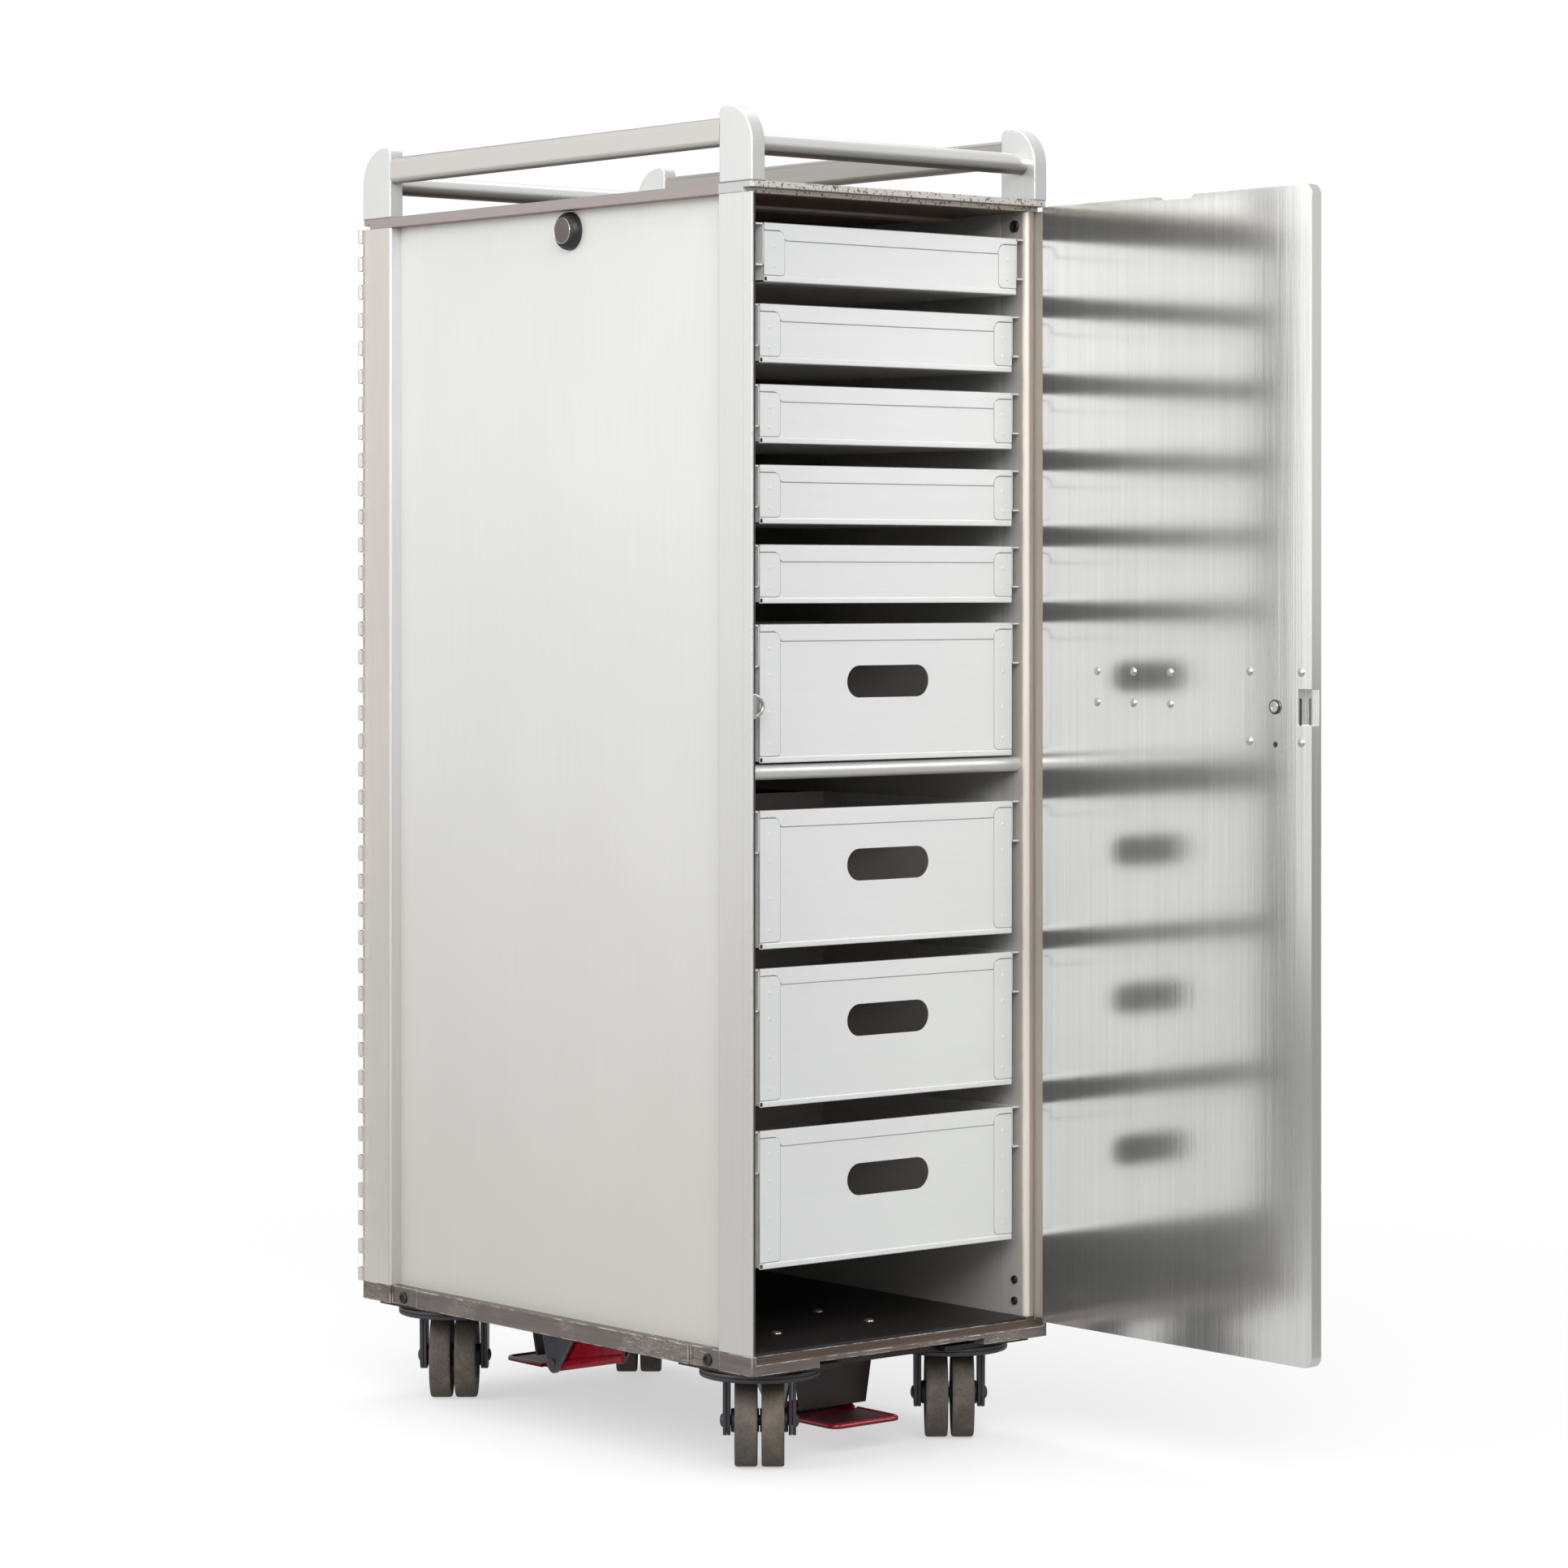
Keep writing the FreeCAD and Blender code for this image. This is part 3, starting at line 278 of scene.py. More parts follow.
def piece(name, solid, body, looks, replaces=()):
    """Finish a solid as an object that rides on a body and stands for CAD nodes."""
    finishes = [LOOKS[look] for look in looks]
    bmesh.ops.remove_doubles(solid.mesh, verts=solid.mesh.verts, dist=0.001)
    bmesh.ops.recalc_face_normals(solid.mesh, faces=solid.mesh.faces)
    solid.turn(Matrix.Scale(SCALE, 4))
    mesh = bpy.data.meshes.new(name)
    solid.mesh.to_mesh(mesh)
    solid.mesh.free()
    mesh.shade_smooth()
    mesh.set_sharp_from_angle(angle=SHARP_ANGLE)
    for finish in finishes:
        mesh.materials.append(finish.material)
    thing = placed(name, mesh)
    flatten = thing.modifiers.new("flat_faces", "WEIGHTED_NORMAL")
    flatten.keep_sharp = True
    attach(thing, body)
    if replaces:
        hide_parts(*replaces)
    return thing


def dress(node, look):
    """Give a CAD node its finish."""
    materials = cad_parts[node].data.materials
    materials.clear()
    materials.append(LOOKS[look].material)


# The back end of the cart is the front end turned half way round.
HALF_TURN = Matrix.Rotation(math.pi, 4, "Z")
ENDS = (("front", Matrix.Identity(4)), ("back", HALF_TURN))


def both_ends(solid):
    """Add a half-turned copy of everything in the solid."""
    copied = bmesh.ops.duplicate(solid.mesh, geom=solid.mesh.verts[:] + solid.mesh.edges[:]
                                 + solid.mesh.faces[:])
    verts = [item for item in copied["geom"] if isinstance(item, bmesh.types.BMVert)]
    bmesh.ops.transform(solid.mesh, matrix=HALF_TURN, verts=verts)


# ---- finishes ----

def shown(red, green, blue):
    """A colour as it shows on a screen, 0 to 255, in the shader's linear values."""
    def channel(value):
        value /= 255
        return value / 12.92 if value <= 0.04045 else ((value + 0.055) / 1.055) ** 2.4
    return tuple(channel(value) for value in (red, green, blue))


class Finish:
    """A procedural surface: a Principled shader and the textures that feed it."""

    def __init__(self, name, slot, color, roughness, metallic=0.0):
        self.slot = slot
        self.material = bpy.data.materials.new(name)
        self.material.use_nodes = True
        self.tree = self.material.node_tree
        self.surface = self.tree.nodes["Principled BSDF"]
        self.surface.inputs["Metallic"].default_value = metallic
        self.color = self.node("RGB").outputs[0]
        self.color.default_value = (*color, 1)
        self.roughness = roughness
        self.relief = None
        self.place = self.node("TexCoord").outputs["Object"]

    def node(self, kind, *values, **settings):
        """A shader node with these settings, its first sockets fed in order."""
        node = self.tree.nodes.new(f"ShaderNode{kind}")
        for setting, value in settings.items():
            setattr(node, setting, value)
        for socket, value in zip(node.inputs, values):
            self.feed(socket, value)
        return node

    def feed(self, socket, value):
        """Wire a value into a socket, or set it there if it is a number."""
        if isinstance(value, (int, float)):
            socket.default_value = value
        else:
            self.tree.links.new(value, socket)

    def math(self, operation, first, second=0.0):
        return self.node("Math", first, second, operation=operation).outputs[0]

    def noise(self, per_metre, detail=3.0, turn=(0, 0, 0)):
        """Noise with this many waves in a metre along each axis."""
        mapping = self.node("Mapping", self.place)
        mapping.inputs["Rotation"].default_value = turn
        mapping.inputs["Scale"].default_value = per_metre
        node = self.node("TexNoise", mapping.outputs[0])
        node.inputs["Scale"].default_value = 1.0
        node.inputs["Detail"].default_value = detail
        return node.outputs[0]

    def spread(self, value, low, high, start=0.0, end=1.0):
        """Map one range of a value to another, held at its ends."""
        return self.node("MapRange", value, low, high, start, end).outputs[0]

    def tint(self, share, color):
        """Mix in another colour by a share from 0 to 1."""
        mix = self.node("Mix", data_type="RGBA")
        sockets = {socket.identifier: socket for socket in mix.inputs}
        self.feed(sockets["Factor_Float"], share)
        self.feed(sockets["A_Color"], self.color)
        sockets["B_Color"].default_value = (*color, 1)
        self.color = next(s for s in mix.outputs if s.identifier == "Result_Color")
        return self

    def vary(self, value, amount):
        """Lighten and darken the colour by up to this share."""
        node = self.node("VectorMath", self.color, operation="SCALE")
        self.feed(node.inputs["Scale"], self.spread(value, 0.3, 0.7, 1 - amount, 1 + amount))
        self.color = node.outputs[0]
        return self

    def roughen(self, value, amount):
        """Vary the roughness by up to half this amount each way."""
        part = self.math("MULTIPLY", self.math("SUBTRACT", value, 0.5), amount)
        self.roughness = self.math("ADD", part, self.roughness)
        return self

    def emboss(self, value, metres):
        """Add a relief to what the bump shows."""
        part = self.math("MULTIPLY", value, metres)
        self.relief = self.math("ADD", self.relief, part) if self.relief else part
        return self

    def scratches(self, per_metre, turn, thin, rare):
        """Fine lines along a stretched noise, kept to a few patches."""
        away = self.math("ABSOLUTE", self.math("SUBTRACT", self.noise(per_metre, 1, turn), 0.5))
        line = self.spread(away, 0.0, thin, 1.0, 0.0)
        patch = self.spread(self.noise((9, 11, 10)), rare, rare + 0.06)
        return self.math("MULTIPLY", line, patch)

    def bevel(self, radius):
        """The normal as it would be with edges rounded by a radius."""
        return self.node("Bevel", radius, samples=4).outputs[0]

    def flat(self):
        """The normal of the mesh's own flat faces."""
        return self.node("NewGeometry").outputs["True Normal"]

    def part(self, vector, axis):
        """A vector's length along an axis."""
        return self.node("SeparateXYZ", vector).outputs["XYZ".index(axis)]

    def edges(self, radius, low=0.02, high=0.25):
        """1 at sharp edges, fading to 0 within the radius."""
        facing = self.node("VectorMath", self.bevel(radius), self.flat(),
                           operation="DOT_PRODUCT")
        return self.spread(self.math("SUBTRACT", 1.0, facing.outputs["Value"]), low, high)

    def worn(self, radius, color, patchy=0.45, low=0.02, high=0.25):
        """Rub another colour through along the edges, here and there."""
        patches = self.spread(self.noise((80, 80, 80), 4), patchy, patchy + 0.15)
        return self.tint(self.math("MULTIPLY", self.edges(radius, low, high), patches), color)

    def chip(self, color, radius=0.0016, rare=0.60):
        """Specks of another colour along the edges."""
        speck = self.spread(self.noise((520, 520, 260), 3), rare, rare + 0.03)
        return self.tint(self.math("MULTIPLY", self.edges(radius), speck), color)

    def along(self, axis):
        """A point's distance along an axis of the frame."""
        return self.part(self.place, axis)

    def looks(self, axis, sign=0, low=0.6, high=0.8):
        """How squarely a surface looks along an axis: one way, or either way."""
        part = self.part(self.flat(), axis)
        part = self.math("MULTIPLY", part, sign) if sign else self.math("ABSOLUTE", part)
        return self.spread(part, low, high)

    def low_shade(self, share, color, low=0.08, high=0.75):
        """Painted shade: darken the colour towards the floor, with a ragged upper limit."""
        ragged = self.math("MULTIPLY", self.noise((6, 6, 3), 4), 0.2)
        height = self.math("SUBTRACT", self.along("Z"), ragged)
        return self.tint(self.spread(height, low - 0.1, high - 0.1, share, 0.0), color)

    def done(self, soften=0.0, **plain):
        """Wire it all up. soften is a radius that rounds the look of sharp edges."""
        self.feed(self.surface.inputs["Roughness"], self.roughness)
        self.feed(self.surface.inputs["Base Color"], self.color)
        normal = self.bevel(soften) if soften else None
        if self.relief:
            bump = self.node("Bump")
            bump.inputs["Distance"].default_value = 1.0
            self.feed(bump.inputs["Height"], self.relief)
            if normal:
                self.feed(bump.inputs["Normal"], normal)
            normal = bump.outputs[0]
        if normal:
            self.feed(self.surface.inputs["Normal"], normal)
        for socket, value in plain.items():
            self.surface.inputs[socket.replace("_", " ")].default_value = value
        return self


ALONG_X = (12, 800, 800)
ALONG_Y = (800, 12, 800)
ALONG_Z = (800, 800, 12)


def sheet(name, slot, color, roughness, metallic, grain, contrast, soften=0.0, low_shade=None,
          chips=None):
    """Rolled or anodised metal sheet with streaks, clouds and fine scratches.

    The share and colour given before chips are painted shade that darkens it low down;
    chips is a colour that shows through in specks along its edges.
    """
    finish = Finish(name, slot, color, roughness, metallic)
    streak = finish.noise(grain, 4)
    cloud = finish.noise((5, 5, 4), 4)
    finish.vary(streak, contrast).vary(cloud, contrast)
    finish.roughen(streak, 0.10).roughen(cloud, 0.12)
    brighter = tuple(min(1.0, value * 1.25) for value in color)
    line = finish.scratches((30, 30, 900), (0.5, 0.9, 0.2), 0.006, 0.60)
    finish.tint(finish.math("MULTIPLY", line, 0.4), brighter)
    if low_shade:
        finish.low_shade(*low_shade)
    if chips:
        finish.chip(chips)
    finish.emboss(streak, 0.000006)
    return finish.done(soften)


def moulded(name, slot, color, roughness, metallic=0.0, soften=0.0005):
    """Paint or plastic: a fine skin, faint dust and dulled patches."""
    finish = Finish(name, slot, color, roughness, metallic)
    peel = finish.noise((500, 500, 500))
    dust = finish.noise((14, 14, 14), 4)
    finish.vary(dust, 0.10).vary(peel, 0.04)
    finish.roughen(dust, 0.18)
    finish.emboss(peel, 0.000012)
    return finish.done(soften)


def deck_metal():
    """The top: chipped pale lips, beige under them, and grey-brown along its sides."""
    finish = Finish("deck_metal", "frame_metal", shown(126, 121, 116), 0.45, 0.4)
    grain = finish.noise((18, 500, 500), 4)
    cloud = finish.noise((24, 24, 24), 4)
    finish.vary(grain, 0.06).vary(cloud, 0.06)
    finish.tint(finish.looks("X"), shown(160, 151, 148))
    ahead = finish.spread(finish.along("Y"), POST_BACK * SCALE - 0.001, POST_BACK * SCALE,
                          1, 0)
    finish.tint(finish.math("MULTIPLY", finish.looks("X"), ahead), shown(190, 189, 189))
    finish.tint(finish.looks("Y"), shown(212, 207, 200))
    speck = finish.spread(finish.noise((480, 480, 480), 3), 0.57, 0.62)
    finish.tint(finish.math("MULTIPLY", finish.looks("Y"), speck), shown(120, 108, 98))
    finish.tint(finish.looks("Z", -1), shown(150, 132, 118))
    finish.tint(finish.looks("Z", 1), shown(104, 100, 96))
    finish.roughen(cloud, 0.2).emboss(grain, 0.00001)
    return finish.done(0.0012)


def rail_metal():
    """Handrails: bare metal inside, and a paler satin face outside."""
    finish = Finish("rail_metal", "frame_metal", shown(168, 164, 159), 0.36)
    streak = finish.noise(ALONG_Y, 4)
    cloud = finish.noise((6, 6, 6), 4)
    finish.vary(streak, 0.04).vary(cloud, 0.04)
    start = HALF_WIDTH * SCALE - 0.002
    outside = finish.spread(finish.math("ABSOLUTE", finish.along("X")), start, start + 0.001)
    finish.tint(outside, shown(194, 191, 186))
    finish.feed(finish.surface.inputs["Metallic"],
                finish.math("SUBTRACT", 0.75, finish.math("MULTIPLY", outside, 0.4)))
    finish.roughen(streak, 0.1).emboss(streak, 0.000006)
    return finish.done(0.0006)


def tube_metal():
    """End tubes: polished on top, with painted shade in brown-grey underneath."""
    finish = Finish("tube_metal", "frame_metal", shown(238, 238, 236), 0.30, 0.8)
    streak = finish.noise(ALONG_X, 4)
    finish.vary(streak, 0.03)
    # Painted shade: faces that look down are tinted brown-grey, a painted reflection of the
    # dark deck below them.
    finish.tint(finish.looks("Z", -1, -0.1, 0.7), shown(140, 132, 126))
    finish.roughen(streak, 0.1).emboss(streak, 0.000006)
    return finish.done()


def nose_metal():
    """The hinge post's round nose: two pale stripes of painted highlight, and a browner stripe
    of painted reflection between them.
    """
    finish = Finish("nose_metal", "frame_metal", shown(228, 221, 208), 0.36, 0.3)
    across = finish.math("ABSOLUTE", finish.along("X"))
    start = WALL * SCALE
    # Painted reflection: a browner band down the middle of the nose, between the pale painted
    # highlights.
    brown = finish.math("MULTIPLY", finish.spread(across, start + 0.0030, start + 0.0044),
                        finish.spread(across, start + 0.0076, start + 0.0092, 1, 0))
    finish.tint(brown, shown(184, 171, 160))
    rub = finish.noise((60, 60, 5), 5)
    finish.vary(rub, 0.10).roughen(rub, 0.2)
    finish.chip(shown(120, 98, 84))
    return finish.done(0.0006)


def brushed_door():
    """Vertically brushed bright sheet that mirrors what faces it, softly."""
    finish = Finish("door_sheet", "door_sheet", shown(236, 236, 233), 0.14, 0.9)
    streak = finish.noise((1400, 1400, 5), 5)
    wide = finish.noise((120, 120, 3), 4)
    haze = finish.noise((7, 7, 5), 4)
    finish.vary(streak, 0.06).vary(wide, 0.03).vary(haze, 0.03)
    finish.roughen(streak, 0.08).roughen(haze, 0.08)
    line = finish.scratches((26, 26, 700), (0.7, 0.5, 0.1), 0.006, 0.58)
    finish.tint(finish.math("MULTIPLY", line, 0.5), shown(240, 240, 240))
    finish.emboss(streak, 0.00002).emboss(wide, 0.00005)
    return finish.done(0.0008)


def bumper_metal():
    """Brown-grey metal scored along its length, and bright where its edges are rubbed."""
    finish = Finish("bumper_metal", "base_metal", shown(106, 97, 93), 0.45, 0.4)
    along = finish.noise((16, 16, 500), 5)
    blotch = finish.noise((26, 26, 40), 5)
    finish.vary(along, 0.14).vary(blotch, 0.08)
    finish.tint(finish.spread(blotch, 0.58, 0.74, 0, 0.35), shown(140, 131, 124))
    for turn in ((0.3, 0.6, 0.1), (0.9, 0.2, 0.5)):
        line = finish.scratches((60, 60, 900), turn, 0.010, 0.51)
        finish.tint(finish.math("MULTIPLY", line, 0.8), shown(214, 208, 202))
    finish.worn(0.0015, shown(226, 221, 214), 0.42, 0.01, 0.12)
    finish.roughen(blotch, 0.25)
    finish.emboss(along, 0.00002).emboss(blotch, 0.0001)
    return finish.done(0.0008)


def floor_metal():
    """The charcoal floor inside, dulled and scratched by what slides over it."""
    finish = Finish("floor_sheet", "floor_sheet", shown(50, 46, 46), 0.42, 0.4)
    cloud = finish.noise((18, 18, 18), 5)
    finish.vary(cloud, 0.18).roughen(cloud, 0.25)
    line = finish.scratches((700, 20, 20), (0.1, 0.1, 0.4), 0.010, 0.50)
    finish.tint(finish.math("MULTIPLY", line, 0.35), shown(130, 126, 122))
    return finish.done(0.0005)


def enamel():
    """Glossy dark red paint, grimy in patches, and paler pink in patches along its edges."""
    finish = Finish("red_enamel", "pedal_red", shown(172, 14, 40), 0.28)
    cloud = finish.noise((40, 40, 40), 4)
    finish.vary(cloud, 0.14).roughen(cloud, 0.2).emboss(cloud, 0.00005)
    grime = finish.spread(finish.noise((60, 60, 60), 5), 0.56, 0.72, 0, 0.6)
    finish.tint(grime, shown(80, 18, 28))
    finish.worn(0.0008, shown(210, 90, 96), 0.5)
    return finish.done(0.0006, Coat_Weight=0.3, Coat_Roughness=0.15)


def tyre():
    """Worn grey-brown rubber, dusty on the tread."""
    finish = Finish("tyre_rubber", "tyre_rubber", shown(84, 77, 68), 0.66)
    dust = finish.noise((60, 60, 60), 5)
    speck = finish.noise((420, 420, 420))
    finish.vary(dust, 0.22).vary(speck, 0.20).emboss(speck, 0.00008)
    finish.tint(finish.spread(dust, 0.54, 0.70, 0, 0.5), shown(112, 98, 80))
    return finish.done()


def worn_bracket():
    """Grey bracket paint rubbed to bare metal along its edges."""
    finish = Finish("bracket_paint", "bracket_steel", shown(122, 124, 127), 0.42, 0.5)
    cloud = finish.noise((60, 60, 60), 4)
    finish.vary(cloud, 0.12).roughen(cloud, 0.2)
    finish.worn(0.0010, shown(222, 216, 208), 0.38)
    return finish.done(0.0004)


# Painted shade: the share and colour that darken sheets towards the floor.
LOW_SHADE = (0.55, shown(168, 164, 156))

LOOKS = {
    # The frame and panel sheets darken towards the floor with painted shade.
    "frame": sheet("satin_frame", "frame_metal", shown(212, 212, 211), 0.42, 0.5, ALONG_Z,
                   0.025, 0.0010, LOW_SHADE, shown(128, 108, 94)),
    "jamb": sheet("jamb_sheet", "frame_metal", shown(196, 193, 189), 0.42, 0.3, ALONG_Z,
                  0.05, 0.0005),
    "shade": sheet("jamb_shade", "frame_metal", shown(74, 70, 65), 0.5, 0.2, ALONG_Z,
                   0.05),
    "nose": nose_metal(),
    "rail": rail_metal(),
    "tube": tube_metal(),
    "leaf": sheet("hinge_leaf", "steel_bits", shown(200, 196, 189), 0.38, 0.5, ALONG_Z,
                  0.04, 0.0003),
    "bright_leaf": sheet("door_leaf", "steel_bits", shown(242, 241, 238), 0.4, 0.2, ALONG_Z,
                         0.03, 0.0003),
    "deck": deck_metal(),
    "panel": sheet("side_sheet", "panel_sheet", shown(217, 217, 214), 0.48, 0.3, ALONG_Z,
                   0.02, 0.0, LOW_SHADE),
    # The drawer sheet darkens towards the floor with painted shade.
    "drawer": sheet("drawer_sheet", "drawer_sheet", shown(224, 225, 225), 0.42, 0.2,
                    ALONG_X, 0.012, 0.0, (0.25, shown(196, 200, 196))),
    # Painted shade: a grey outline that stands for the shadow in the grooves round the drawers'
    # folds.
    "groove_shade": moulded("groove_shade_line", "drawer_sheet", shown(146, 145, 145), 0.6),
    # Painted shade: a darker copy of the drawer sheet, for the faces inside the tubs.
    "inside_shade": sheet("drawer_inside_shade", "drawer_sheet", shown(186, 180, 178), 0.5, 0.1, ALONG_X,
                   0.06),
    "door": brushed_door(),
    "guide": sheet("guide_sheet", "guide_metal", shown(132, 124, 116), 0.5, 0.5, ALONG_Y,
                   0.08, 0.0006),
    "soffit": sheet("soffit_sheet", "frame_metal", shown(140, 118, 102), 0.4, 0.5, ALONG_X,
                    0.08),
    "strap": sheet("strap_sheet", "frame_metal", shown(208, 194, 184), 0.4, 0.4, ALONG_X,
                   0.06),
    "sill": sheet("sill_strip", "base_metal", shown(98, 84, 76), 0.5, 0.3, ALONG_X, 0.12),
    "base": bumper_metal(),
    "floor": floor_metal(),
    "steel": sheet("bright_steel", "steel_bits", shown(200, 199, 198), 0.28, 0.9, ALONG_Z,
                   0.05, 0.0003),
    "black": moulded("black_plastic", "dark_plastic", shown(34, 31, 32), 0.45),
    "magnet": sheet("magnet_face", "dark_plastic", shown(94, 88, 83), 0.45, 0.3, ALONG_X,
                    0.08),
    "card": moulded("card_plastic", "card_plastic", shown(222, 222, 218), 0.35),
    "caster": moulded("caster_paint", "caster_steel", shown(68, 68, 74), 0.36, 0.5, 0.0004),
    "bracket": worn_bracket(),
    "dark": moulded("dark_paint", "dark_steel", shown(46, 37, 34), 0.3, 0.2),
    "red": enamel(),
    "grip": moulded("tread_grip", "pedal_red", shown(78, 22, 34), 0.5),
    "tyre": tyre(),
    "core": moulded("wheel_core", "tyre_rubber", shown(44, 42, 42), 0.5),
}


# ---- cabinet ----

CAD_FINISHES = {
    "floor": ["floor_panel"],
    "base": ["base_frame"],
    "frame": ["cross_bars"],
    "deck": ["top_deck"],
    "rail": ["side_handrails"],
    "tube": ["end_rail_tubes"],
    "panel": ["left_side_panel", "right_side_panel"],
    "guide": ["left_guide_rails", "right_guide_rails"],
    "leaf": ["hinge_frame_leaves", "hinge_pins"],
    "bright_leaf": ["front_hinge_leaf", "back_hinge_leaf"],
    "bracket": ["pedal_brackets"],
    "dark": ["pedal_crossmembers", "caster_plates"],
    "door": ["front_door_panel", "back_door_panel"],
    "card": ["front_card_holder", "back_card_holder"],
}


def dress_cad_nodes():
    """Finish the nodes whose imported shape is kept."""
    for look, nodes in CAD_FINISHES.items():
        for node in nodes:
            dress(node, look)


def make_sills():
    """A ridged strip that climbs from the bumper to the floor's edge, at each door."""
    solid = Solid()
    ridges, wide, rise = 3, 2.8, 1.2
    foot = BASE_LOW.z + 8
    profile = [(FRONT + 1, foot - 1)]
    for ridge in range(ridges):
        across, up = FRONT + 1.6 + wide * ridge, foot + rise * ridge
        profile += [(across, up), (across, up + rise), (across + wide * 0.6, up + rise + 0.2),
                    (across + wide * 0.7, up + rise)]
    profile += [(JAMB + 0.3, foot + rise * ridges), (JAMB + 0.3, foot - 1)]
    solid.loft([[(across, along, up) for along, up in profile]
                for across in (4.6 - HALF_WIDTH, HALF_WIDTH - 4.6)], closed=False)
    both_ends(solid)
    piece("sill_strips", solid, "cabinet", ["sill"])


def make_ceiling():
    """The dark soffit, with a paler strap across it inside each door."""
    solid = Solid()
    solid.box((-WALL, JAMB + 1, CEILING - 0.3), (WALL, -JAMB - 1, CEILING + 0.5))
    low, high = box_mm("ceiling_beams")
    strap = rounded((low.y, low.z), (low.y + 20, high.z), 0.8)
    solid.plate([strap], "X", -WALL, WALL, 0.3, 1)
    both_ends(solid)
    piece("soffit_and_straps", solid, "cabinet", ["soffit", "strap"],
          ["ceiling_beams"])


POST_FACING = (0, 3 * FRONT, CEILING / 2)    # a post's inner faces look at this point


def add_latch_post(solid):
    """A post with a thin stop lip, and a dark sheet behind the lip as painted shade."""
    lip = softened([(-HALF_WIDTH, FRONT), (LIP, FRONT), (LIP, JAMB), (-HALF_WIDTH, JAMB)],
                   [0.8, 0.6, 0, 0])
    post = softened([(-HALF_WIDTH, JAMB), (-WALL, JAMB), (-WALL, POST_BACK),
                     (-HALF_WIDTH, POST_BACK)], [0, 0.8, 0.6, 1.4])
    solid.plate([lip], "Z", BUMPER_TOP, CEILING)
    solid.plate([post], "Z", BUMPER_TOP, CEILING, inside=POST_FACING)
    # A dark sheet that paints the shade in the recess behind the lip.
    solid.box((LIP - 1, JAMB - 0.1, BUMPER_TOP + 0.2),
              (-WALL - 0.4, JAMB + 0.2, CEILING - 0.2), material=2)


def add_hinge_post(solid):
    """A post with a round nose, and a shallow seat for the hinge's leaf."""
    leaf, nose = 1.5, 5
    seat, leaf_end, split = HALF_WIDTH - leaf, FRONT + 36, JAMB + nose
    post = softened(
        [(WALL, split), (seat, split), (seat, leaf_end), (HALF_WIDTH, leaf_end),
         (HALF_WIDTH, POST_BACK), (WALL, POST_BACK)],
        [0, 0, 0, 0.2, 1.4, 0.6])
    front = softened([(WALL, JAMB), (seat, JAMB), (seat, split), (WALL, split)],
                     [nose, nose, 0, 0], 12)
    solid.plate([post], "Z", BUMPER_TOP, CEILING, inside=POST_FACING)
    solid.plate([front], "Z", BUMPER_TOP, CEILING, material=2)


def make_posts():
    """Corner posts: each end has one with a stop lip and one with a round nose."""
    nodes = {"front": ("front_left_post", "front_right_post"),
             "back": ("back_right_post", "back_left_post")}
    kinds = (("latch", add_latch_post, "shade"), ("hinge", add_hinge_post, "nose"))
    for end, turn in ENDS:
        for node, (kind, add_post, look) in zip(nodes[end], kinds):
            solid = Solid()
            add_post(solid)
            solid.turn(turn)
            piece(f"{end}_{kind}_post", solid, "cabinet", ["frame", "jamb", look], [node])


def make_rail_posts():
    """Blocks on the deck's corners, rounded off towards the doors."""
    solid = Solid()
    low, high = box_mm("rail_posts")
    long, thick = 39, 13
    outline = rounded((FRONT, low.z), (FRONT + long, high.z), [1.4, 1.4, 6, 30], 10)
    for side in SIDES:
        inner, outer = span(side, HALF_WIDTH, HALF_WIDTH - thick)
        solid.plate([outline], "X", inner, outer, 1.2)
    both_ends(solid)
    piece("rail_end_blocks", solid, "cabinet", ["frame"], ["rail_posts"])


def make_latch_strikes():
    """A wire bow on a small plate, on each latch post's lip."""
    solid = Solid()
    low, high = box_mm("latch_strikes")
    wire = 1.5
    face, depth, reach = 4 - HALF_WIDTH, FRONT + 4, 10
    middle, half = (low.z + high.z) / 2, (high.z - low.z) / 2 - wire
    turn = arc((0, 0), 1, -90, 90, 14)
    path = [(face - 1, middle - half)]
    path += [(face + reach * out, middle + half * up) for out, up in turn]
    path += [(face - 1, middle + half)]
    solid.tube([(across, depth, level) for across, level in path], wire)
    plate = rounded((depth - 3.6, low.z), (depth + 4, high.z), 1)
    solid.plate([plate], "X", LIP - 0.2, face + 0.8)
    both_ends(solid)
    piece("strike_bows", solid, "cabinet", ["steel"], ["latch_strikes"])


def make_door_catches():
    """A black dome with a thin rim round its grey magnet, on each side."""
    solid = Solid()
    behind, level = 236, 948
    middle, outwards = Vector((-PANEL_HIGH.x, FRONT + behind, level)), (-1, 0, 0)
    solid.lathe([(-0.5, 0.02), (-0.5, 15), (2, 15), (4, 14.6), (5.8, 13.6), (7.4, 12),
                 (8.4, 10.4), (8.4, 0.02)], middle, outwards)
    solid.lathe([(7.5, 9.6), (7.5, 10.2), (8.8, 10.2), (9, 10), (9, 9.8), (8.8, 9.6)],
                middle, outwards, material=2)
    solid.lathe([(7.5, 0.02), (7.5, 9.4), (8.6, 9.4), (8.8, 9), (8.8, 0.02)], middle,
                outwards, material=1)
    both_ends(solid)
    piece("door_magnets", solid, "cabinet",
          ["black", "magnet", "steel"],
          ["door_catches"])


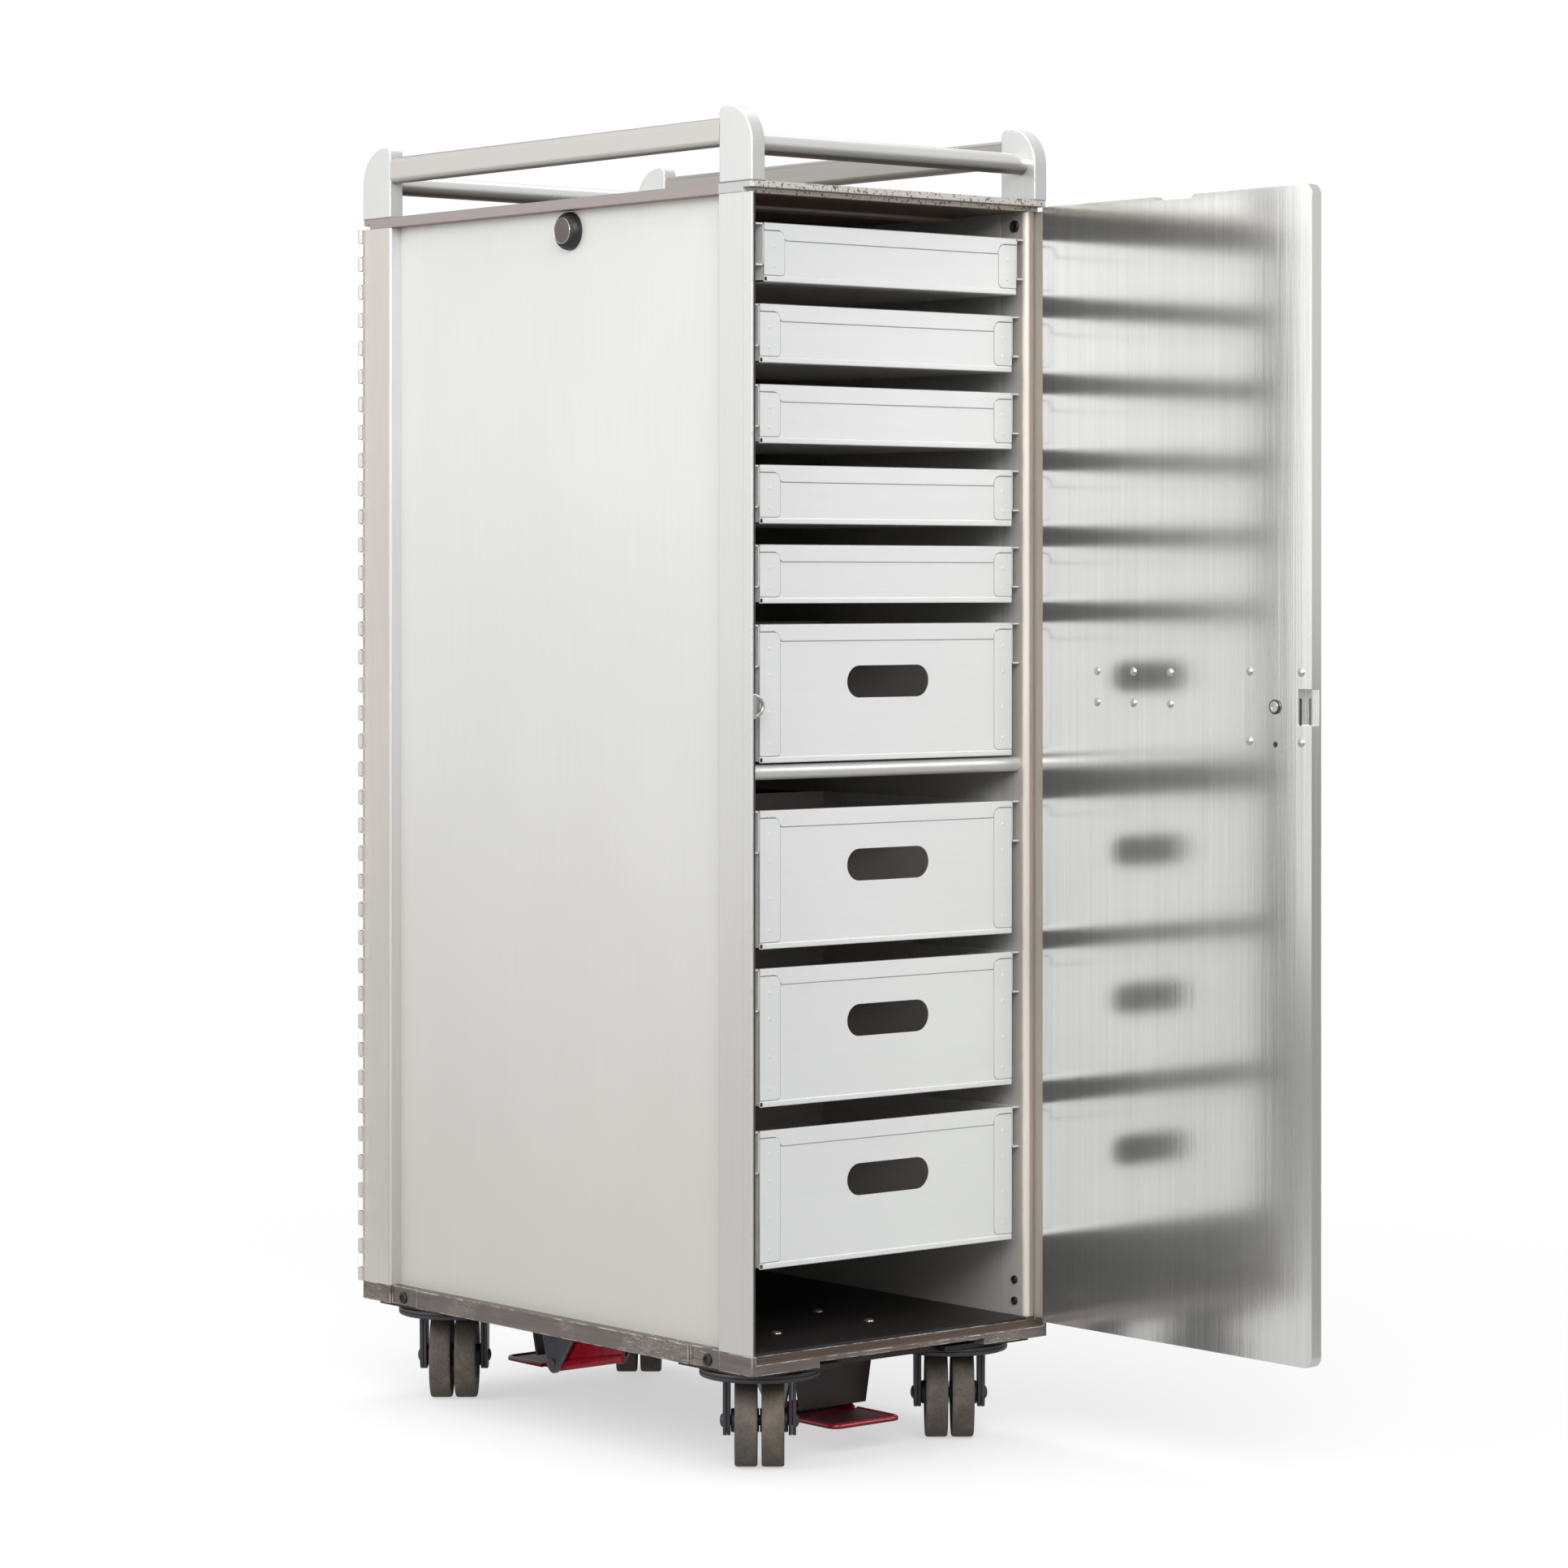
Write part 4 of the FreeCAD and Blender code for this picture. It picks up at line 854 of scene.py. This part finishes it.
def make_screws():
    """Black socket screws in the bumper and the posts, and domed ones on the floor."""
    solid = Solid()

    def screw(place, axis, radius):
        socket = radius * 0.58
        head = [(0, 0.02), (0, radius), (1.4, radius), (2, radius - 0.6), (2, socket),
                (0.6, socket - 0.2), (0.6, 0.02)]
        solid.lathe(head, place, axis, material=1)

    large, small, domed, dome_tall = 4.7, 3.2, 4.3, 1.9
    bumper_inset, bumper_level, bumper_recess = 55, 86.3, 2.5
    for end in SIDES:
        screw((HALF_WIDTH - bumper_recess, (HALF_DEPTH - bumper_inset) * end, bumper_level),
              (1, 0, 0), large)
    depth, top_level, foot_levels = FRONT + 23.5, 953, (123, 106.5)
    for side in SIDES:
        screw((side * WALL, depth, top_level), (-side, 0, 0), large)
    for level in foot_levels:
        screw((WALL, depth, level), (-1, 0, 0), small)
    floor_top = box_mm("floor_panel")[1].z
    for across, behind in ((-63, 76), (31, 76), (31, 137.5)):
        solid.dome((across, FRONT + behind, floor_top), (0, 0, 1), domed, dome_tall)
    both_ends(solid)
    piece("screw_heads", solid, "cabinet", ["steel", "black"],
          ["frame_screws"])


# ---- doors ----

# The front door as it closes the front, and where it stands at rest.
HINGE = Vector((HALF_WIDTH + 1, FRONT - 1, 0))
OPENED = (Matrix.Translation(HINGE) @ Matrix.Rotation(math.radians(90), 4, "Z")
          @ Matrix.Translation(-HINGE))
DOORS = (("front", OPENED, -90), ("back", HALF_TURN, 0))
DOOR_BACK = FRONT + 10
SPINDLE = Vector((-106, 0, 580))

# Where rivets go through a closed front door: across it, and up.
CARD_RIVETS = [(across, level) for across in (84.5, 44.5, 4.5) for level in (604, 580)]
LOCK_RIVETS = [(SPINDLE.x + across, SPINDLE.z + up)
               for across in (-26.5, 26.5) for up in (-26, 26)]


def make_door_rivets(end, swing):
    """Rivet heads, and a black disc under the spindle as the painted shade of a small hole."""
    solid = Solid()
    for across, level in CARD_RIVETS + LOCK_RIVETS:
        solid.dome((across, DOOR_BACK, level), (0, 1, 0), 3.4, 1.2)
    # A black disc painted as the shade of a small hole.
    solid.lathe([(-0.2, 0.02), (-0.2, 2.2), (0.1, 2.2), (0.1, 0.02)],
                (SPINDLE.x, DOOR_BACK, SPINDLE.z - 28), (0, 1, 0), material=1)
    solid.turn(swing)
    piece(f"{end}_rivet_heads", solid, f"{end}_door", ["steel", "black"],
          [f"{end}_door_rivets"])


def make_lock_plate(end, swing):
    """A riveted plate round the spindle on the door's outer face."""
    solid = Solid()
    half = 33
    outline = rounded((SPINDLE.x - half, SPINDLE.z - half),
                      (SPINDLE.x + half, SPINDLE.z + half), 5)
    hole = arc((SPINDLE.x, SPINDLE.z), 5.1, 360, 0, 32)[:-1]
    solid.plate([outline, hole], "Y", FRONT - 1.5, FRONT, 0.5)
    for across, level in LOCK_RIVETS:
        solid.dome((across, FRONT - 1.5, level), (0, -1, 0), 3, 1.1)
    solid.turn(swing)
    piece(f"{end}_lock_plate_sheet", solid, f"{end}_door", ["steel"],
          [f"{end}_lock_plate"])


def make_lever(end, swing, angle):
    """Lever, spindle, washer and cam, turned together about the spindle."""
    solid = Solid()
    outer, half, long = FRONT - 7, 9, 68
    handle = rounded((-half, -long - half), (half, half), half)
    solid.plate([handle], "Y", outer, outer + 5, 1.8)
    solid.rod((0, outer + 1, 0), (0, FRONT + 11.4, 0), 5, material=1)
    washer = DOOR_BACK + 0.3
    solid.lathe([(0, 4), (0, 5), (0.4, 5.4), (1, 5.4), (1.4, 5), (1.4, 4)],
                (0, washer, 0), (0, 1, 0))
    solid.lathe([(0, 0.02), (0, 4.4), (1.2, 4.4), (1.7, 3.9), (1.7, 2.4), (0.8, 2.2),
                 (0.8, 0.02)], (0, washer, 0), (0, 1, 0), material=1)
    cam = rounded((-32, -6), (0, 6), [2, 0, 0, 2])
    solid.plate([cam], "Y", FRONT + 6, FRONT + 8, material=1)
    solid.turn(Matrix.Rotation(math.radians(angle), 4, "Y"))
    solid.turn(Matrix.Translation(SPINDLE))
    solid.turn(swing)
    piece(f"{end}_lever", solid, f"{end}_latch", ["black", "steel"],
          [f"{end}_latch_lever"])


def make_doors():
    for end, swing, angle in DOORS:
        make_door_rivets(end, swing)
        make_lock_plate(end, swing)
        make_lever(end, swing, angle)


# ---- drawers ----

GAUGE = 1.2          # drawer sheet
PROUD = 0.8          # how far the band, tabs and hem stand out of the drawer's front
RUNNER = 8           # reach of the runners beside the tub
CHANNEL = 32         # height of the runner's channel
BAND = 12.5
HEM = 4.5
DEEP = 60            # a drawer taller than this is a deep one


def band_outline(half, top):
    """The band along the top edge, which bends round the tabs at both its ends."""
    low = top - BAND
    left = [(-half, top), (-half, top - 5.2), (-half + 14.5, top - 5.2)]
    bend = [(-half + 18, top - 7), (-half + 19.5, top - 10.5), (-half + 21.5, low)]
    right = [(half - 19.6, low), (half - 19.2, top - 9.5), (half - 17, top - 6),
             (half - 13, top - 4.6), (half, top - 4.6), (half, top)]
    return left + bend + right


def tab_outlines(half, top, bottom):
    """The corner tabs at the left and right ends of a drawer's front."""
    left = rounded((-half, bottom + HEM + 0.6), (-half + 19.9, top - 6), [0, 3, 5, 0])
    right = rounded((half - 18.4, bottom + HEM + 0.6), (half, top - 5.4), [4, 0, 0, 5])
    return [left, right]


def tab_rivets(half, top, bottom, deep):
    """Rivets down both tabs: one pair, or two on a deep drawer."""
    levels = [top - 17, bottom + 12]
    if deep:
        middle = (top + bottom) / 2
        levels = [top - 18, middle + 14, middle - 14, bottom + 14]
    return [(side * (half - 9.5), level) for side in SIDES for level in levels]


def hand_slot(top):
    """The slot in a deep drawer's front, wound as a hole."""
    wide, tall, drop = 83, 24.5, 44
    corner, other = (-wide / 2, top - drop - tall / 2), (wide / 2, top - drop + tall / 2)
    return rounded(corner, other, tall / 2 - 0.01, 10)[::-1]


def add_tub(solid, low, high):
    """A folded tub, with a channel for a runner along each side."""
    half, deep, skin = high.x - RUNNER, high.z - low.z > DEEP, low.y + PROUD
    back, bottom, top = high.y, low.z, high.z
    inside = (0, (low.y + back) / 2, (top + bottom) / 2)
    sheet_outlines = [rounded((-half, bottom), (half, top), 0.8)]
    if deep:
        sheet_outlines.append(hand_slot(top))
    # Faces that look into the tub take the darker painted-shade copy of the sheet.
    solid.plate(sheet_outlines, "Y", skin, skin + GAUGE, 0.3, inside=inside)
    behind = skin + GAUGE / 2
    solid.box((-half, behind, bottom), (half, back, bottom + GAUGE), 0, inside)
    solid.box((-half, back - GAUGE, bottom), (half, back, top), 0, inside)
    for side in SIDES:
        wall = span(side, half, half - GAUGE)
        solid.box((wall[0], behind, bottom), (wall[1], back, top), 0, inside)
        web = span(side, half, half + GAUGE)
        solid.box((web[0], skin, top - CHANNEL), (web[1], back, top))
        reach = span(side, half, high.x)
        for level in (top - GAUGE, top - CHANNEL):
            solid.box((reach[0], skin, level), (reach[1], back, level + GAUGE))


def add_front_folds(solid, low, high):
    """What is folded over the drawer's front: a band, two riveted tabs and a hem."""
    half, deep, skin = high.x - RUNNER, high.z - low.z > DEEP, low.y + PROUD
    front, bottom, top = low.y, low.z, high.z
    folds = [band_outline(half, top)] + tab_outlines(half, top, bottom)
    # Grey outline plates just behind each fold paint the shade in the groove round it.
    for outline in folds:
        solid.plate([outline], "Y", skin - 0.12, skin + 0.1, 0.02, 3, grow=0.45)
    solid.plate([band_outline(half, top)], "Y", front, skin + 0.2, 0.45)
    solid.plate([rounded((-half + 3, bottom), (half, bottom + HEM), 0.8)], "Y", front,
                skin + 1, 0.85)
    for outline in tab_outlines(half, top, bottom):
        solid.plate([outline], "Y", front + 0.3, skin + 0.2, 0.3)
    for across, level in tab_rivets(half, top, bottom, deep):
        solid.dome((across, front + 0.3, level), (0, -1, 0), 1.8, 0.3)
    # A black patch at the hem's open end, painted as the shade inside it.
    hem_end = rounded((-half + 0.4, bottom + 0.6), (-half + 2.8, bottom + HEM - 0.8), 0.8)
    solid.plate([hem_end], "Y", skin - 0.1, skin + 0.2, 0.05, 2)


def make_drawer(number):
    """One drawer, numbered from the top."""
    name = f"drawer_{number}"
    low, high = box_mm(name)
    solid = Solid()
    add_tub(solid, low, high)
    add_front_folds(solid, low, high)
    piece(f"{name}_tub", solid, name, ["drawer", "inside_shade", "black", "groove_shade"], [name])


# ---- casters ----

CASTER_TURN = Matrix.Rotation(math.radians(-39.9), 4, "Z")
AXLE_LEVEL = 34.8


def make_yoke(corner, place):
    """Swivel disc with its race, two legs each of two plates, and the axle."""
    solid = Solid()
    solid.lathe([(69.8, 0.02), (69.8, 44.6), (70.2, 45.6), (71.0, 46), (72.9, 46),
                 (73.1, 45.2), (73.5, 45.2), (73.7, 46), (75, 46), (75.8, 45.6),
                 (76.2, 44.6), (76.2, 8), (80.4, 8), (80.4, 0.02)], (0, 0, 0), (0, 0, 1), 72)
    leg = softened([(-17, 71), (-12, 23.8), (12, 23.8), (17, 71)], [0, 10.6, 10.6, 0], 10)
    for side in SIDES:
        for first, last in ((22.15, 24.7), (24.9, 27.85)):
            inner, outer = span(side, first, last)
            solid.plate([leg], "X", inner, outer, 0.5)
        solid.dome((side * 27.85, 0, AXLE_LEVEL), (side, 0, 0), 5.25, 2.5)
        fold = span(side, 22.5, 27.85)
        solid.box((fold[0], -17, 68.6), (fold[1], 17, 70.8))
    solid.rod((-28, 0, AXLE_LEVEL), (28, 0, AXLE_LEVEL), 4)
    solid.turn(place)
    piece(f"{corner}_fork", solid, f"{corner}_caster", ["caster"],
          [f"{corner}_caster_yoke"])


def make_wheel(name, place, side):
    """A tyre with round shoulders on a dark core with a raised boss."""
    solid = Solid()
    hub, outwards = (0, 0, AXLE_LEVEL), (side, 0, 0)
    near, far, rim = 1.55, 18.95, AXLE_LEVEL
    tread = [(near + 0.6, 22), (near, 23), (near, rim - 1.6), (near + 0.4, rim - 0.6),
             (near + 1.4, rim - 0.1), (near + 3, rim), (far - 3, rim),
             (far - 1.4, rim - 0.1), (far - 0.4, rim - 0.6), (far, rim - 1.6), (far, 25.4),
             (far - 0.6, 24.8), (far - 0.6, 22)]
    solid.lathe(tread, hub, outwards, 96)
    core = [(0.35, 4.1), (21.8, 4.1), (21.8, 8.4), (21.2, 9), (far - 2.4, 9.2),
            (far - 2.6, 12), (far - 1.6, 20), (far - 0.4, 21), (far - 0.4, 22.6),
            (near + 0.4, 22.6), (near + 0.4, 9), (0.35, 9)]
    solid.lathe(core, hub, outwards, 64, 1)
    solid.turn(place)
    piece(f"{name}_tyre", solid, name, ["tyre", "core"], [name])


def make_casters():
    """The four casters, each with its yoke and two wheels."""
    for corner in ("front_left", "front_right", "back_left", "back_right"):
        low, high = box_mm(f"{corner}_caster_yoke")
        middle = (low + high) / 2
        place = Matrix.Translation((middle.x, middle.y, 0)) @ CASTER_TURN
        make_yoke(corner, place)
        make_wheel(f"{corner}_wheel_a", place, 1)
        make_wheel(f"{corner}_wheel_b", place, -1)


# ---- brake pedals ----

PEDAL_HALF, PEDAL_ARM, PEDAL_FLOOR = 35, 30, 22
PEDAL_START, PEDAL_FOLD, PEDAL_PIVOT = (FRONT + behind for behind in (40, 92, 109.5))


def add_tread(solid):
    """A grip pad on a round-cornered plate, inside a raised rim."""
    half, start, fold, floor = PEDAL_HALF, PEDAL_START, PEDAL_FOLD, PEDAL_FLOOR
    corner, wire, inset = 9, 1.7, 4
    tread = rounded((-half, start), (half, fold), [corner, corner, 0, 0])
    solid.plate([tread], "Z", floor, floor + 2.2, 0.6, 1)
    pad = rounded((-half + inset, start + corner), (half - inset, fold), [3, 3, 0, 0])
    solid.plate([pad], "Z", floor + 1, floor + 2.9, 0.5, 1)
    rim, bend = half - wire, corner - wire
    path = [(-rim, fold)]
    path += arc((corner - half, start + corner), bend, 180, 270)
    path += arc((half - corner, start + corner), bend, 270, 360)
    path += [(rim, fold)]
    solid.tube([(across, along, floor + 2) for across, along in path], wire)


def add_lip(solid, knee, last, rise):
    """The rounded lower edge of the side that runs on past the channel's floor."""
    arm, floor = PEDAL_ARM, PEDAL_FLOOR
    rings = []
    for along, low, tall in ((knee, floor - 0.8, 9), (last - 0.5, floor + rise, 7)):
        bulge = [(arm + 1 + 1.8 * out, along, low + tall * (1 + up) / 2)
                 for out, up in arc((0, 0), 1, -90, 90, 8)]
        rings.append([(arm + 0.8, along, low)] + bulge + [(arm + 0.8, along, low + tall)])
    solid.loft(rings, closed=False)


def add_channel(solid, end):
    """A folded channel from the tread's fold to near; a long side runs on to last."""
    arm, floor, fold, knee = PEDAL_ARM, PEDAL_FLOOR, PEDAL_FOLD, PEDAL_PIVOT + 3
    crown = floor + 44
    near, last, rise = (132, 132, 4) if end == "front" else (121, 197, 17)
    near, last = FRONT + near, FRONT + last
    climb = floor - 1 + (rise + 1) / (last - knee) * (near - knee)
    foot = [(fold, floor), (knee, floor - 1)]
    shoulder = [(PEDAL_PIVOT + 10, crown), (PEDAL_PIVOT - 3, floor + 13), (fold, floor + 4)]
    short_side = softened(foot + [(near, climb), (near, crown)] + shoulder,
                          [0, 8, 0.5, 0.5, 0.5, 4, 1])
    sides = [short_side, short_side]
    if end == "back":
        tip = [(last, floor + rise), (last, floor + 28), (PEDAL_PIVOT + 50, crown)]
        sides[1] = softened(foot + tip + shoulder, [0, 8, 1, 3, 8, 8, 4, 1])
        add_lip(solid, knee, last, rise)
    for edge, side in zip(SIDES, sides):
        inner, outer = span(edge, arm + 1, arm - 1)
        solid.plate([side], "X", inner, outer, 0.6)
    bottom = [(fold - 2, floor + 0.4), (knee, floor - 1), (near, climb), (near, climb + 2.6),
              (knee, floor + 1.6), (fold - 2, floor + 3)]
    solid.plate([bottom], "X", 0.5 - arm, arm - 0.5, 0.3)


def make_pedal(end, turn):
    """A tread in front of a folded channel that rocks on the cross pin."""
    solid = Solid()
    add_tread(solid)
    add_channel(solid, end)
    solid.turn(turn)
    piece(f"{end}_brake_pedal", solid, f"{end}_brake", ["red", "grip"], [f"{end}_pedal"])


# ---- stage ----

def feed_strength(tree, plain, seen, socket):
    """A strength that differs where the camera looks straight at it."""
    path = tree.nodes.new("ShaderNodeLightPath")
    strength = tree.nodes.new("ShaderNodeMapRange")
    strength.inputs["To Min"].default_value = plain
    strength.inputs["To Max"].default_value = seen
    tree.links.new(path.outputs["Is Camera Ray"], strength.inputs["Value"])
    tree.links.new(strength.outputs[0], socket)


def make_floor():
    """A pale floor that keeps the cart's shadow, and runs out to plain white."""
    reach = 30
    corners = [(-reach, -reach, 0), (reach, -reach, 0), (reach, reach, 0), (-reach, reach, 0)]
    mesh = bpy.data.meshes.new("studio_floor")
    mesh.from_pydata(corners, [], [(0, 1, 2, 3)])
    floor = placed("studio_floor", mesh)
    finish = Finish("studio_floor", "studio_floor", (0.86, 0.86, 0.87), 0.9).done()
    glow = finish.node("Emission")
    feed_strength(finish.tree, 0.3, 1.0, glow.inputs["Strength"])
    away = finish.node("VectorMath", finish.place, operation="LENGTH")
    near, far, near_share, far_share = 0.2, 1.6, 0.55, 1.0
    share = finish.node("MapRange", away.outputs["Value"], near, far, near_share, far_share,
                        interpolation_type="SMOOTHSTEP")
    mix = finish.node("MixShader", share.outputs[0], finish.surface.outputs[0],
                      glow.outputs[0])
    finish.feed(finish.tree.nodes["Material Output"].inputs["Surface"], mix.outputs[0])
    mesh.materials.append(finish.material)


def add_area(name, place, aim, size, watts):
    light = bpy.data.lights.new(name, "AREA")
    light.shape = "RECTANGLE"
    light.size, light.size_y = size
    light.energy = watts
    lamp = placed(name, light)
    lamp.location = place
    lamp.rotation_euler = (Vector(aim) - Vector(place)).to_track_quat("-Z", "Y").to_euler()


def make_lights():
    """Big soft lamps above the front, to the left and overhead, in a white room."""
    add_area("key", (-1.9, -2.9, 2.4), (0, 0, 0.6), (2.4, 2.0), 98)
    add_area("left", (-3.4, 0.0, 1.6), (0, 0, 0.6), (2.4, 2.4), 48)
    add_area("back_left", (-3.4, 2.8, 1.3), (0, 0, 0.6), (3.6, 3.2), 24)
    add_area("top", (0.2, 0.4, 3.2), (0, 0, 0.9), (2.4, 2.4), 40)
    world = bpy.data.worlds.new("studio")
    bpy.context.scene.world = world
    world.use_nodes = True
    tree = world.node_tree
    background = tree.nodes["Background"]
    background.inputs["Color"].default_value = (1, 1, 1, 1)
    feed_strength(tree, 0.62, 1.0, background.inputs["Strength"])


def make_camera():
    camera = bpy.data.cameras.new("camera")
    camera.lens = 106.8
    camera.sensor_width = 36
    camera.shift_y = -0.1275
    holder = placed("camera", camera)
    holder.location = (-2.3553, -2.9241, 0.6711)
    holder.rotation_euler = (math.radians(90), 0, math.radians(-39.935))
    bpy.context.scene.camera = holder
    bpy.context.scene.view_settings.view_transform = "Standard"


dress_cad_nodes()
make_sills()
make_ceiling()
make_posts()
make_rail_posts()
make_latch_strikes()
make_door_catches()
make_screws()
make_doors()
for drawer_number in range(1, 10):
    make_drawer(drawer_number)
make_casters()
for pedal_end, pedal_turn in ENDS:
    make_pedal(pedal_end, pedal_turn)
make_floor()
make_lights()
make_camera()
